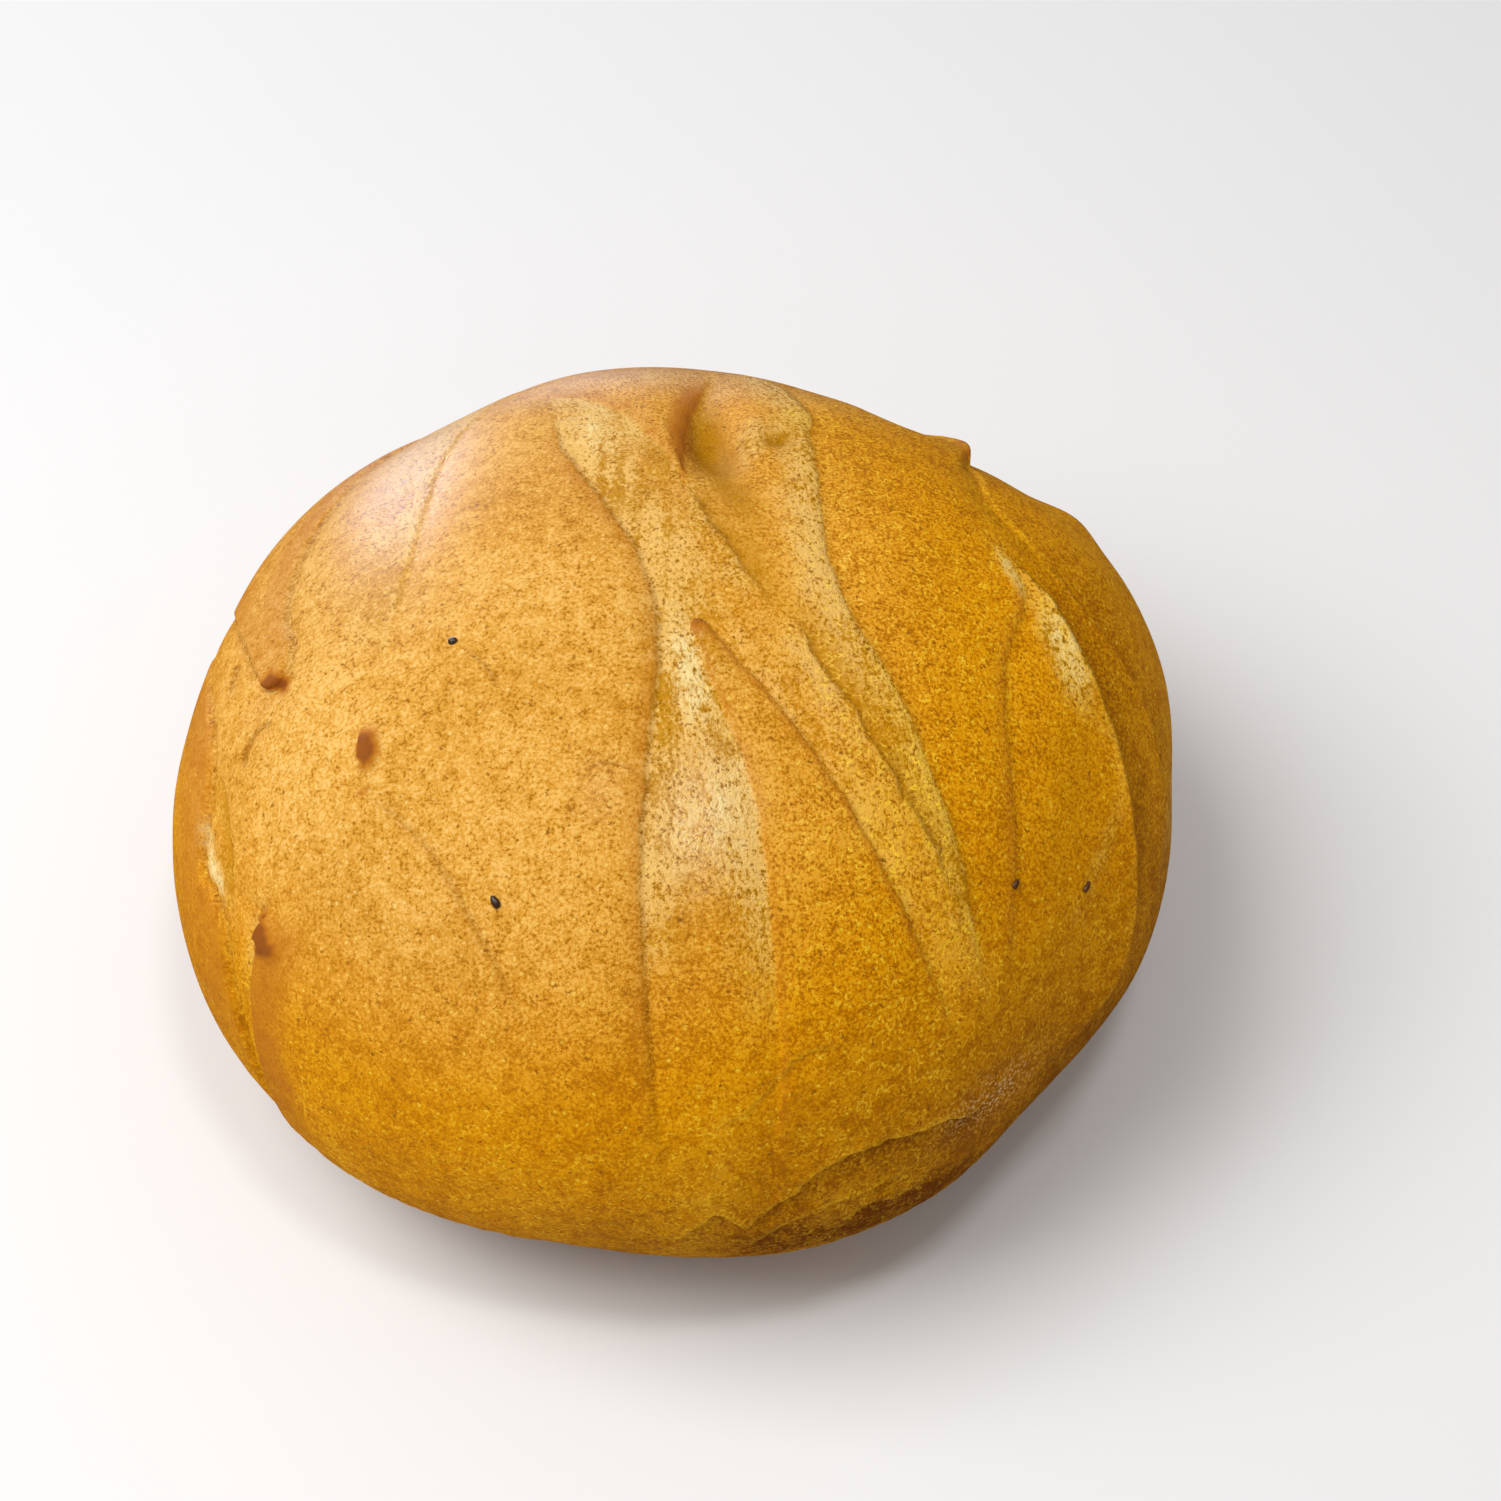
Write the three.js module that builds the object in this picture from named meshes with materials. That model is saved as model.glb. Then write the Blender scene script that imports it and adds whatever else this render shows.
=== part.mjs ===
// A round whole wheat loaf that was slashed before baking and rests on its flat underside.
// Millimetres, +Z up, with the middle of the underside at the origin. The slashes run from
// the back (+Y) to the front (-Y). They opened in the oven and left torn tongues of skin.
import * as THREE from 'three';
import { ConvexHull } from 'three/addons/math/ConvexHull.js';

// The body is a flattened ball, a little wider than deep, cut off by what it was baked on.
const HALF_WIDTH = 90;
const HALF_DEPTH = 87;
const CROWN_RISE = 63; // from the widest level up to the crown
const UNDER_DROP = 48; // from the widest level down to where the ball would end
const WIDEST_LEVEL = 40; // above the underside
const SQUARENESS = 2.15; // 2 is an ellipsoid, more is boxier
const FOOT_SHARPNESS = 14; // how tightly the side turns in to the underside
const FOOT_MARGIN = 1.012; // the turn ends this much past the underside, which then cuts it flat

// Waves round the rim, in mm, for each number of waves.
const PLAN_WAVES = [
  { count: 2, cosine: 0, sine: 0.8 },
  { count: 3, cosine: 1, sine: 0.5 },
  { count: 4, cosine: 0, sine: 1.3 },
];

// A place on the crust is [degrees right of the crown, degrees behind it], seen from the middle
// of the widest level.

// Broad swellings and flat spots of the dough: spread in degrees, height in mm.
const SWELLINGS = [
  { place: [68, 30], spread: 16, height: 1.4 },
  { place: [54, 41], spread: 6, height: -1 },
  { place: [10, 60], spread: 20, height: 1.4 },
  { place: [-12, 60], spread: 12, height: 0.7 },
  { place: [36.5, 54], spread: 4.5, height: -1.2 },
  { place: [-36, 53], spread: 10, height: -1.4 },
  { place: [-62, 33], spread: 14, height: 1.5 },
  { place: [-58, -79], spread: 14, height: 1.4 },
  { place: [-16, -99], spread: 10, height: -1.1 },
  { place: [44, -90], spread: 16, height: 1.5 },
  { place: [72, -66], spread: 10, height: -1.2 },
  { place: [87, -32], spread: 14, height: 1.4 },
  { place: [87, -1], spread: 8, height: -0.9 },
  { place: [61.5, 37], spread: 4, height: 1.4 },
];

// Torn edges. Each is a step in the crust along a smooth path. `low` is the side that lies deeper,
// to the left or right of someone who walks along the path. It starts `step` mm down and comes
// back up over `reach` mm. The high side has a lip of `lip` times the step that dies away over
// `lipReach` mm; a lip below zero is a rolled-down shoulder. The wall between them is `wall` mm
// wide, and `fade` is how far the step takes to grow from nothing at each end.
// A tongue's path runs down one flank, round its tip and back up the other: `step` then has a
// value for each flank, and `tip` says which point is the tip and how far it is lifted.
const LEFT = 1;
const RIGHT = -1;
const EDGES = [
  {
    // outer edge of the slash at the far left
    path: [[-80, 30], [-70, 0], [-67, -16], [-69.5, -27], [-66.5, -40], [-76, -70]],
    low: LEFT, step: [0.8, 2.2], fade: [45, 45], reach: 4.5, lip: 0, lipReach: 4, wall: 0.9,
  },
  {
    // inner edge of the hollow in it
    path: [[-66.5, -14], [-63, -21], [-62, -30], [-64.5, -38]],
    low: RIGHT, step: [1.3, 1.3], fade: [8, 8], reach: 3.5, lip: -0.3, lipReach: 3, wall: 0.9,
  },
  {
    // upper left tongue, which hangs down from the back
    path: [[-80, 44], [-67, 14], [-60, -2.5], [-57.3, -6], [-54.6, -2], [-56, 18], [-36, 70]],
    low: RIGHT, step: [0.9, 1.2], fade: [30, 40], reach: 5, lip: 0, lipReach: 4, wall: 1.3,
    tip: { point: 3, step: 2.6, spread: 4 },
  },
  {
    // lower left tongue, which stands up from the front
    path: [[-73, -76], [-64, -53], [-59.5, -44.5], [-56.5, -40.5], [-54, -38]],
    low: LEFT, step: [2, 2.4], fade: [30, 6], reach: 5, lip: 0.2, lipReach: 4, wall: 0.9,
  },
  {
    // right edge of the broad left slash, down to the small flake
    path: [[-22, 68], [-33, 38], [-38, 8], [-40.5, -20]],
    low: LEFT, step: [0.9, 0.6], fade: [45, 25], reach: 8, lip: 0, lipReach: 5, wall: 2.2,
  },
  {
    // the same edge below the flake
    path: [[-42, -29], [-32, -39.5], [-23, -54], [-15, -68]],
    low: LEFT, step: [1.2, 1], fade: [10, 25], reach: 8, lip: -0.5, lipReach: 4, wall: 0.9,
  },
  {
    // left edge of the middle slash
    path: [[-19, 45], [-16, 29], [-4, 4], [-1, -14], [-3, -46], [1, -92]],
    low: LEFT, step: [1.5, 1.4], fade: [18, 50], reach: 8, lip: -0.65, lipReach: 4.5, wall: 0.8,
  },
  {
    // wedge of skin at the back, beside the hollow
    path: [[-26, 50], [-10, 41.5], [0, 27], [2.4, 22], [2.4, 29], [3, 40], [7, 55]],
    low: RIGHT, step: [0.5, 1.8], fade: [15, 18], reach: 7, lip: -0.4, lipReach: 5, wall: 2.4,
    tip: { point: 3, step: 1, spread: 4 },
  },
  {
    // leaf of skin in the middle, with its tip just before the crown
    path: [[18, -94], [14, -42], [6, -16], [4.5, -8], [10, -13.5], [26, -35], [46, -66]],
    low: LEFT, step: [0.8, 1.4], fade: [45, 35], reach: 6, lip: -0.4, lipReach: 4, wall: 1.1,
    tip: { point: 3, step: 1.6, spread: 5 },
  },
  {
    // valley from the wedge past the leaf
    path: [[2.4, 22], [8, 9], [18, -9]],
    low: LEFT, step: [0.8, 0.6], fade: [8, 14], reach: 5, lip: 0, lipReach: 4, wall: 1.5,
  },
  {
    // the same valley further on, set a little to the right
    path: [[16.5, -3], [21.5, -12], [36.5, -36], [44, -50]],
    low: LEFT, step: [0.7, 0.9], fade: [12, 25], reach: 5, lip: 0, lipReach: 4, wall: 1.3,
  },
  {
    // ridge that bounds the middle slashes on the right
    path: [[10, 62], [20, 44], [21.5, 29], [25, 0], [36.5, -25], [49, -62]],
    low: LEFT, step: [0.4, 0.45], fade: [18, 40], reach: 9, lip: 1.1, lipReach: 6, wall: 3,
  },
  {
    // left edge of the right slash, deepest near its top
    path: [[48, 15], [50, 3], [48, -10], [50, -40], [49, -62]],
    low: LEFT, step: [1.1, 0.6], fade: [12, 30], reach: 6, lip: -0.4, lipReach: 4, wall: 2.5,
  },
  {
    // ridge on the right of that slash
    path: [[48, 15], [56.5, -1], [66, -21], [70.5, -42], [60, -64]],
    low: LEFT, step: [2.2, 2.4], fade: [14, 28], reach: 11, lip: 1.5, lipReach: 7, wall: 1,
  },
  {
    // skin strip beyond, where it starts at the back
    path: [[40, 60], [45.5, 39], [47, 25], [59, 8]],
    low: RIGHT, step: [0.6, 0.4], fade: [25, 15], reach: 7, lip: 0.3, lipReach: 4, wall: 0.9,
  },
  {
    // lifted corner at the back right
    path: [[38, 68], [45.8, 47], [42, 32]],
    low: LEFT, step: [2.3, 2.3], fade: [24, 18], reach: 8, lip: 1.4, lipReach: 3, wall: 4,
  },
  {
    // slash at the far right
    path: [[52, 17], [64, 6], [76, -9], [85, -42]],
    low: LEFT, step: [1.4, 1.4], fade: [18, 35], reach: 7, lip: 0.5, lipReach: 5, wall: 1.6,
  },
  {
    // upper fold of crumpled skin low on the front right
    path: [[-12, -87], [2, -91], [8, -86.5], [14, -88], [24, -78.5], [36, -72.5], [49, -67.5], [54, -60]],
    low: RIGHT, step: [0.7, 0.9], fade: [15, 12], reach: 4, lip: 0.5, lipReach: 2.5, wall: 0.7,
  },
  {
    // lower fold
    path: [[25, -97], [31, -86.7], [34, -83.6], [39, -82], [44, -78], [50, -72]],
    low: RIGHT, step: [0.8, 0.8], fade: [12, 10], reach: 5, lip: 0.5, lipReach: 2.5, wall: 0.7,
  },
  {
    // smaller fold between them
    path: [[12, -95], [20, -88], [27, -83.5], [36, -79], [45, -73]],
    low: RIGHT, step: [0.5, 0.6], fade: [8, 8], reach: 3, lip: 0.6, lipReach: 2, wall: 0.7,
  },
];
const FARTHEST = 5; // an edge isn't felt beyond this many times its reach

// Small lumps and pits, in mm: half length, half width and height. `turn` is the angle of the
// long way in degrees, from the right towards the back.
const LUMPS = [
  { place: [7.5, 33], long: 12, wide: 5.4, turn: 95, height: -4 }, // hollow at the back
  { place: [12.5, 32], long: 7.5, wide: 3, turn: 85, height: 1.5 }, // mound inside the hollow
  { place: [16.8, 32.5], long: 3, wide: 2, turn: 40, height: -1.2 }, // pit beside the mound
];
const FLAKES = [
  { place: [-40.6, -23.5], long: 3.6, wide: 2, turn: 80, height: 1.6 },
  { place: [-56.2, -42.2], long: 4.2, wide: 2.4, turn: 65, height: 1.2 },
];
const FLAKE_STEEPNESS = 4; // 2 is a soft lump, more has a flatter top and steeper sides
const SEEDS = [
  { place: [-30.3, -9.5], long: 0.85, wide: 0.7, turn: 0, height: 0.55 },
  { place: [-22.5, -47], long: 1.15, wide: 0.7, turn: 100, height: 0.6 },
  { place: [49.7, -38.4], long: 0.95, wide: 0.55, turn: 80, height: 0.45 },
  { place: [61, -34.2], long: 1.15, wide: 0.5, turn: 85, height: 0.45 },
];

// Facets: how far apart their corners are in general, on the underside and beside a torn edge.
const FACET = 4.4;
const UNDERSIDE_FACET = 10;
const EDGE_FACET = 1.9;
const EDGE_FACET_REACH = 9; // facets grow from fine to general size over this distance
const LEAST_STEP = 0.12; // a step lower than this gets no rows of corners
const ROW_GAP = 0.7; // corners of different rows may be this share of a facet or wall apart
const LUMP_RINGS = [0.6, 1, 1.3]; // rings of corners in and round a seed or flake, as shares of its size
const LUMP_SIDES = 8;
const UNDERSIDE_SHARE = 0.97; // the underside starts at this share of the widest level's height
const EVEN_STEPS = [0.7548776662466927, 0.5698402909980532]; // inverse powers of the plastic ratio
const CANDIDATES = 60000; // places tried for corners
const POINTS_PER_SPAN = 36; // points laid between two given points of an edge's path

const CRUST_COLOUR = 0xd09a3c;
const CRUST_ROUGHNESS = 0.55;

const clamp = THREE.MathUtils.clamp;
const smoothstep = THREE.MathUtils.smoothstep;

// Unit vector from the middle of the widest level to a place on the crust.
function directionAt([right, back]) {
  const polar = THREE.MathUtils.degToRad(Math.hypot(right, back));
  const heading = Math.atan2(back, right);
  return new THREE.Vector3(
    Math.sin(polar) * Math.cos(heading),
    Math.sin(polar) * Math.sin(heading),
    Math.cos(polar),
  );
}

const swellings = SWELLINGS.map(({ place, spread, height }) => ({
  middle: directionAt(place),
  spread: THREE.MathUtils.degToRad(spread),
  height,
}));

// Distance from the middle of the widest level to the smooth body.
function bodyRadius(direction) {
  const flat = Math.hypot(direction.x, direction.y);
  const heading = Math.atan2(direction.y, direction.x);
  let plan = 1 / Math.hypot(Math.cos(heading) / HALF_WIDTH, Math.sin(heading) / HALF_DEPTH);
  for (const { count, cosine, sine } of PLAN_WAVES) {
    plan += cosine * Math.cos(count * heading) + sine * Math.sin(count * heading);
  }
  const rise = direction.z > 0 ? CROWN_RISE : UNDER_DROP;
  const sum = (flat / plan) ** SQUARENESS + (Math.abs(direction.z) / rise) ** SQUARENESS;
  let radius = sum ** (-1 / SQUARENESS);
  for (const { middle, spread, height } of swellings) {
    radius += height * Math.exp(-((direction.angleTo(middle) / spread) ** 2));
  }
  if (direction.z >= 0) return radius;
  const foot = (FOOT_MARGIN * WIDEST_LEVEL) / -direction.z;
  return (radius ** -FOOT_SHARPNESS + foot ** -FOOT_SHARPNESS) ** (-1 / FOOT_SHARPNESS);
}

function bodyPoint(direction) {
  return direction.clone().multiplyScalar(bodyRadius(direction));
}

// How high the step of an edge is at a distance along its path.
function stepAlong(edge, along, length, tipAlong) {
  const share = edge.tip
    ? smoothstep(along, tipAlong - edge.tip.spread, tipAlong + edge.tip.spread)
    : along / length;
  let step = THREE.MathUtils.lerp(edge.step[0], edge.step[1], share);
  if (edge.tip) {
    step += (edge.tip.step - step) * Math.exp(-(((along - tipAlong) / edge.tip.spread) ** 2));
  }
  return step * smoothstep(along, 0, edge.fade[0]) * smoothstep(length - along, 0, edge.fade[1]);
}

// The path of an edge laid on the body, with the step at each of its points.
function layEdge(edge) {
  const curve = new THREE.SplineCurve(edge.path.map((place) => new THREE.Vector2(...place)));
  const spans = edge.path.length - 1;
  const points = curve
    .getPoints(spans * POINTS_PER_SPAN)
    .map(({ x, y }) => bodyPoint(directionAt([x, y])));
  const along = [0];
  points.slice(1).forEach((point, i) => along.push(along[i] + point.distanceTo(points[i])));
  const length = along.at(-1);
  const tipAlong = edge.tip ? along[edge.tip.point * POINTS_PER_SPAN] : 0;
  const steps = along.map((distance) => stepAlong(edge, distance, length, tipAlong));
  const headings = points.map((_, i) =>
    points[Math.min(i + 1, points.length - 1)].clone().sub(points[Math.max(i - 1, 0)]).normalize(),
  );
  const box = new THREE.Box3().setFromPoints(points);
  return { edge, points, steps, headings, box };
}

const laidEdges = EDGES.map(layEdge);

// Distance of a body point from a laid edge, positive on its left, and the step there.
function fromEdge(laid, point) {
  const { points, steps, headings } = laid;
  const nearest = { distance: Infinity, step: 0 };
  const foot = new THREE.Vector3();
  const line = new THREE.Line3();
  for (let i = 0; i + 1 < points.length; i += 1) {
    line.set(points[i], points[i + 1]);
    const share = line.closestPointToPointParameter(point, true);
    line.at(share, foot);
    const distance = foot.distanceTo(point);
    if (distance < Math.abs(nearest.distance)) {
      const heading = headings[i].clone().lerp(headings[i + 1], share);
      const left = point.clone().cross(heading);
      const side = left.dot(point.clone().sub(foot)) < 0 ? -1 : 1;
      nearest.distance = side * distance;
      nearest.step = THREE.MathUtils.lerp(steps[i], steps[i + 1], share);
    }
  }
  return nearest;
}

// Height that one torn edge adds to the crust at a body point.
function edgeRelief(laid, point) {
  const { reach, lip, lipReach, low, wall } = laid.edge;
  if (laid.box.distanceToPoint(point) > FARTHEST * Math.max(reach, lipReach)) return 0;
  const { distance, step } = fromEdge(laid, point);
  const depth = distance * low;
  const down = -step * Math.exp(-Math.max(depth, 0) / reach);
  const up = lip * step * Math.exp(-Math.max(-depth, 0) / lipReach);
  return THREE.MathUtils.lerp(up, down, smoothstep(depth, -wall / 2, wall / 2));
}

// A lump's own frame on the body: its middle, the way out, its long way and its wide way.
function layLump(lump) {
  const out = directionAt(lump.place);
  const turn = THREE.MathUtils.degToRad(lump.turn);
  const way = new THREE.Vector3(Math.cos(turn), Math.sin(turn), 0);
  const long = way.addScaledVector(out, -way.dot(out)).normalize();
  return { lump, middle: bodyPoint(out), out, long, wide: out.clone().cross(long) };
}

const laidLumps = LUMPS.map(layLump);
const laidFlakes = FLAKES.map(layLump);
const laidSeeds = SEEDS.map(layLump);

// How far out a point lies in a lump: 0 at its middle, 1 at its rim, far more across the loaf.
function acrossLump({ lump, middle, out, long, wide }, point) {
  const offset = point.clone().sub(middle);
  return Math.hypot(
    offset.dot(long) / lump.long,
    offset.dot(wide) / lump.wide,
    offset.dot(out) / lump.long,
  );
}

// Height of the crust over the smooth body, in mm.
function relief(point) {
  let height = 0;
  for (const laid of laidEdges) {
    height += edgeRelief(laid, point);
  }
  for (const laid of laidLumps) {
    height += laid.lump.height * Math.exp(-(acrossLump(laid, point) ** 2));
  }
  for (const laid of laidFlakes) {
    height += laid.lump.height * Math.exp(-(acrossLump(laid, point) ** FLAKE_STEEPNESS));
  }
  for (const laid of laidSeeds) {
    height += laid.lump.height * Math.sqrt(clamp(1 - acrossLump(laid, point) ** 2, 0, 1));
  }
  return height;
}

// How far apart the corners of facets are at a body point.
function facetSize(point) {
  if (point.z < -UNDERSIDE_SHARE * WIDEST_LEVEL) return UNDERSIDE_FACET;
  let size = FACET;
  for (const laid of laidEdges) {
    if (laid.box.distanceToPoint(point) > EDGE_FACET_REACH) continue;
    const { distance, step } = fromEdge(laid, point);
    if (step < LEAST_STEP) continue;
    const share = clamp(Math.abs(distance) / EDGE_FACET_REACH, 0, 1);
    size = Math.min(size, THREE.MathUtils.lerp(EDGE_FACET, FACET, share));
  }
  return size;
}

// A set of directions from the middle, where a new one must keep its distance from the others.
class Corners {
  directions = [];
  cells = new Map();

  add(direction, gap) {
    const point = bodyPoint(direction);
    const [x, y, z] = point.toArray().map((value) => Math.floor(value / UNDERSIDE_FACET));
    for (let i = x - 1; i <= x + 1; i += 1) {
      for (let j = y - 1; j <= y + 1; j += 1) {
        for (let k = z - 1; k <= z + 1; k += 1) {
          const near = this.cells.get(`${i},${j},${k}`) ?? [];
          if (near.some((other) => other.distanceTo(point) < gap)) return;
        }
      }
    }
    const key = `${x},${y},${z}`;
    if (!this.cells.has(key)) this.cells.set(key, []);
    this.cells.get(key).push(point);
    this.directions.push(direction);
  }
}

// Rows of corners along the top and the foot of a torn edge's wall, and a row beyond each.
function addEdgeRows(corners, { edge, points, steps, headings }) {
  const half = edge.wall / 2;
  const offsets = [half, -half, half + EDGE_FACET, -half - EDGE_FACET];
  offsets.forEach((offset, row) => {
    const gap = ROW_GAP * (row < 2 ? Math.min(edge.wall, EDGE_FACET) : EDGE_FACET);
    let walked = 0;
    points.forEach((point, i) => {
      walked += i > 0 ? point.distanceTo(points[i - 1]) : EDGE_FACET;
      if (walked < EDGE_FACET || steps[i] < LEAST_STEP) return;
      walked = 0;
      const left = point.clone().cross(headings[i]).normalize();
      corners.add(point.clone().addScaledVector(left, offset).normalize(), gap);
    });
  });
}

// Rings of corners in and round a seed or flake.
function addLumpRings(corners, { lump, middle, long, wide }) {
  corners.add(middle.clone().normalize(), 0);
  for (const ring of LUMP_RINGS) {
    for (let i = 0; i < LUMP_SIDES; i += 1) {
      const turn = (2 * Math.PI * i) / LUMP_SIDES;
      const point = middle.clone();
      point.addScaledVector(long, ring * lump.long * Math.cos(turn));
      point.addScaledVector(wide, ring * lump.wide * Math.sin(turn));
      corners.add(point.normalize(), 0);
    }
  }
}

// Directions of all corners: the seeds, the flakes, the torn edges, then an even fill between them.
// The fill follows a sequence that spreads evenly over the ball at every length.
function crustDirections() {
  const corners = new Corners();
  [...laidSeeds, ...laidFlakes].forEach((laid) => addLumpRings(corners, laid));
  laidEdges.forEach((laid) => addEdgeRows(corners, laid));
  for (let i = 1; i <= CANDIDATES; i += 1) {
    const z = 1 - 2 * ((i * EVEN_STEPS[0]) % 1);
    const heading = 2 * Math.PI * ((i * EVEN_STEPS[1]) % 1);
    const flat = Math.sqrt(1 - z * z);
    const direction = new THREE.Vector3(flat * Math.cos(heading), flat * Math.sin(heading), z);
    corners.add(direction, facetSize(bodyPoint(direction)));
  }
  return corners.directions;
}

// Triangles between directions: those of the hull of their points on a ball.
function trianglesBetween(directions) {
  const order = new Map(directions.map((direction, i) => [direction, i]));
  return new ConvexHull().setFromPoints(directions).faces.map(({ edge }) =>
    [edge, edge.next, edge.next.next].map((side) => order.get(side.head().point)),
  );
}

// The crust's surface, with the underside cut flat and the middle of its box over the origin.
function loafGeometry() {
  const directions = crustDirections();
  const points = directions.map((direction) => {
    const point = bodyPoint(direction);
    point.addScaledVector(direction, relief(point));
    point.z = Math.max(point.z, -WIDEST_LEVEL) + WIDEST_LEVEL;
    return point;
  });
  const geometry = new THREE.BufferGeometry().setFromPoints(points);
  geometry.setIndex(trianglesBetween(directions).flat());
  const middle = new THREE.Box3().setFromPoints(points).getCenter(new THREE.Vector3());
  geometry.translate(-middle.x, -middle.y, 0);
  geometry.computeVertexNormals();
  return geometry;
}

const crust = new THREE.MeshStandardMaterial({
  color: CRUST_COLOUR,
  roughness: CRUST_ROUGHNESS,
  metalness: 0,
});
const loaf = new THREE.Mesh(loafGeometry(), crust);
loaf.name = 'loaf';

const object = new THREE.Group();
object.add(loaf);

export default object;
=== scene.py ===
"""A round whole wheat loaf with a golden crust that tore open along its slashes.

Sizes are in millimetres until a mesh is made, which is in metres. A place on the crust is
(degrees right of the crown, degrees behind it), seen from the middle of the widest level.
"""
import math
from dataclasses import dataclass

import bpy
import numpy as np
from mathutils import Matrix, Vector, kdtree, noise
from mathutils.geometry import delaunay_2d_cdt


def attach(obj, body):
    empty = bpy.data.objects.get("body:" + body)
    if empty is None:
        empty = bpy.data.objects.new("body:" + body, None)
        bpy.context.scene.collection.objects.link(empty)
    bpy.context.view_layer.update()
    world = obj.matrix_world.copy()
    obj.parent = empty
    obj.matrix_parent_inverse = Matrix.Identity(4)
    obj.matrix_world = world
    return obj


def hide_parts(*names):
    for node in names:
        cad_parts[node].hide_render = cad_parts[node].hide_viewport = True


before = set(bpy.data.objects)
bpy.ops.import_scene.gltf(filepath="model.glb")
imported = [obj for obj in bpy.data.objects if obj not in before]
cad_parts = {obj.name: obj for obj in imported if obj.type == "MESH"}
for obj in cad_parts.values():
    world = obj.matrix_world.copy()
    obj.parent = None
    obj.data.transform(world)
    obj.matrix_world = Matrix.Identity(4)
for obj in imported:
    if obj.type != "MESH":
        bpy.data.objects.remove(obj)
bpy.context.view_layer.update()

MM = 0.001

# The body: a flattened ball, a little wider than deep, cut off by what it was baked on.
HALF_WIDTH = 90
HALF_DEPTH = 87
CROWN_RISE = 63
UNDER_DROP = 48
WIDEST_LEVEL = 40
SQUARENESS = 2.15
FOOT_SHARPNESS = 14
FOOT_MARGIN = 1.012
PLAN_WAVES = ((2, 0, 0.8), (3, 1, 0.5), (4, 0, 1.3))  # count, cosine, sine

# Broad swellings and flat spots: place, spread in degrees, height.
SWELLINGS = (
    ((68, 30), 16, 1.4),
    ((54, 41), 6, -1),
    ((10, 60), 20, 1.4),
    ((-12, 60), 12, 0.7),
    ((36.5, 54), 4.5, -1.2),
    ((-36, 53), 10, -1.4),
    ((-62, 33), 14, 1.5),
    ((-58, -79), 14, 1.4),
    ((-16, -99), 10, -1.1),
    ((44, -90), 16, 1.5),
    ((72, -66), 10, -1.2),
    ((87, -32), 14, 1.4),
    ((87, -1), 8, -0.9),
    ((61.5, 37), 4, 1.4),
)

# Hands of someone who walks along a path over the crust.
LEFT = 1
RIGHT = -1


@dataclass
class Tip:
    """Where a tongue of skin ends: which point of its path, how far it is lifted and how brown."""

    point: int
    step: float
    spread: float
    brown: float = 0.0
    brown_reach: float = 4.0
    overhang: float = 0.0


@dataclass
class Edge:
    """A torn edge: a step in the crust along a smooth path, and the colours on its two sides.

    The side `low` starts `step` down and comes back up over `reach`. The other side has a lip of
    `lip` times the step that dies away over `lip_reach`; a lip below zero is a rolled-down shoulder.
    The step grows over `fade` at each end and its wall is `wall` wide. Pairs belong to the path's
    start and end, or to the two flanks of a tongue with a tip.
    """

    path: tuple
    low: int
    step: tuple
    fade: tuple
    reach: float
    lip: float
    lip_reach: float
    wall: float = 0.9
    tip: Tip = None
    fray: float = 1.0
    pale_and_lit: tuple = (0, 0)  # torn, paler floor on the low side
    pale_reach: float = 9.0
    pale_ridge: tuple = (0, 0)  # the same on the high side
    ridge_reach: float = 5.0
    crest_highlight: tuple = (0, 0)  # painted highlight: thin pale line on the high side
    brown: tuple = (0, 0)  # browned lip on the high side
    brown_reach: float = 1.6
    shade_and_base_brown: tuple = (0, 0)  # painted shade on the low side
    shade_reach: float = 9.0
    olive_shade: tuple = (0, 0)  # painted shade in greenish gold on the low side
    olive_shade_reach: float = 4.0
    grain: float = 0.0  # degrees that the floor's grain is turned from the front to the right


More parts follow.
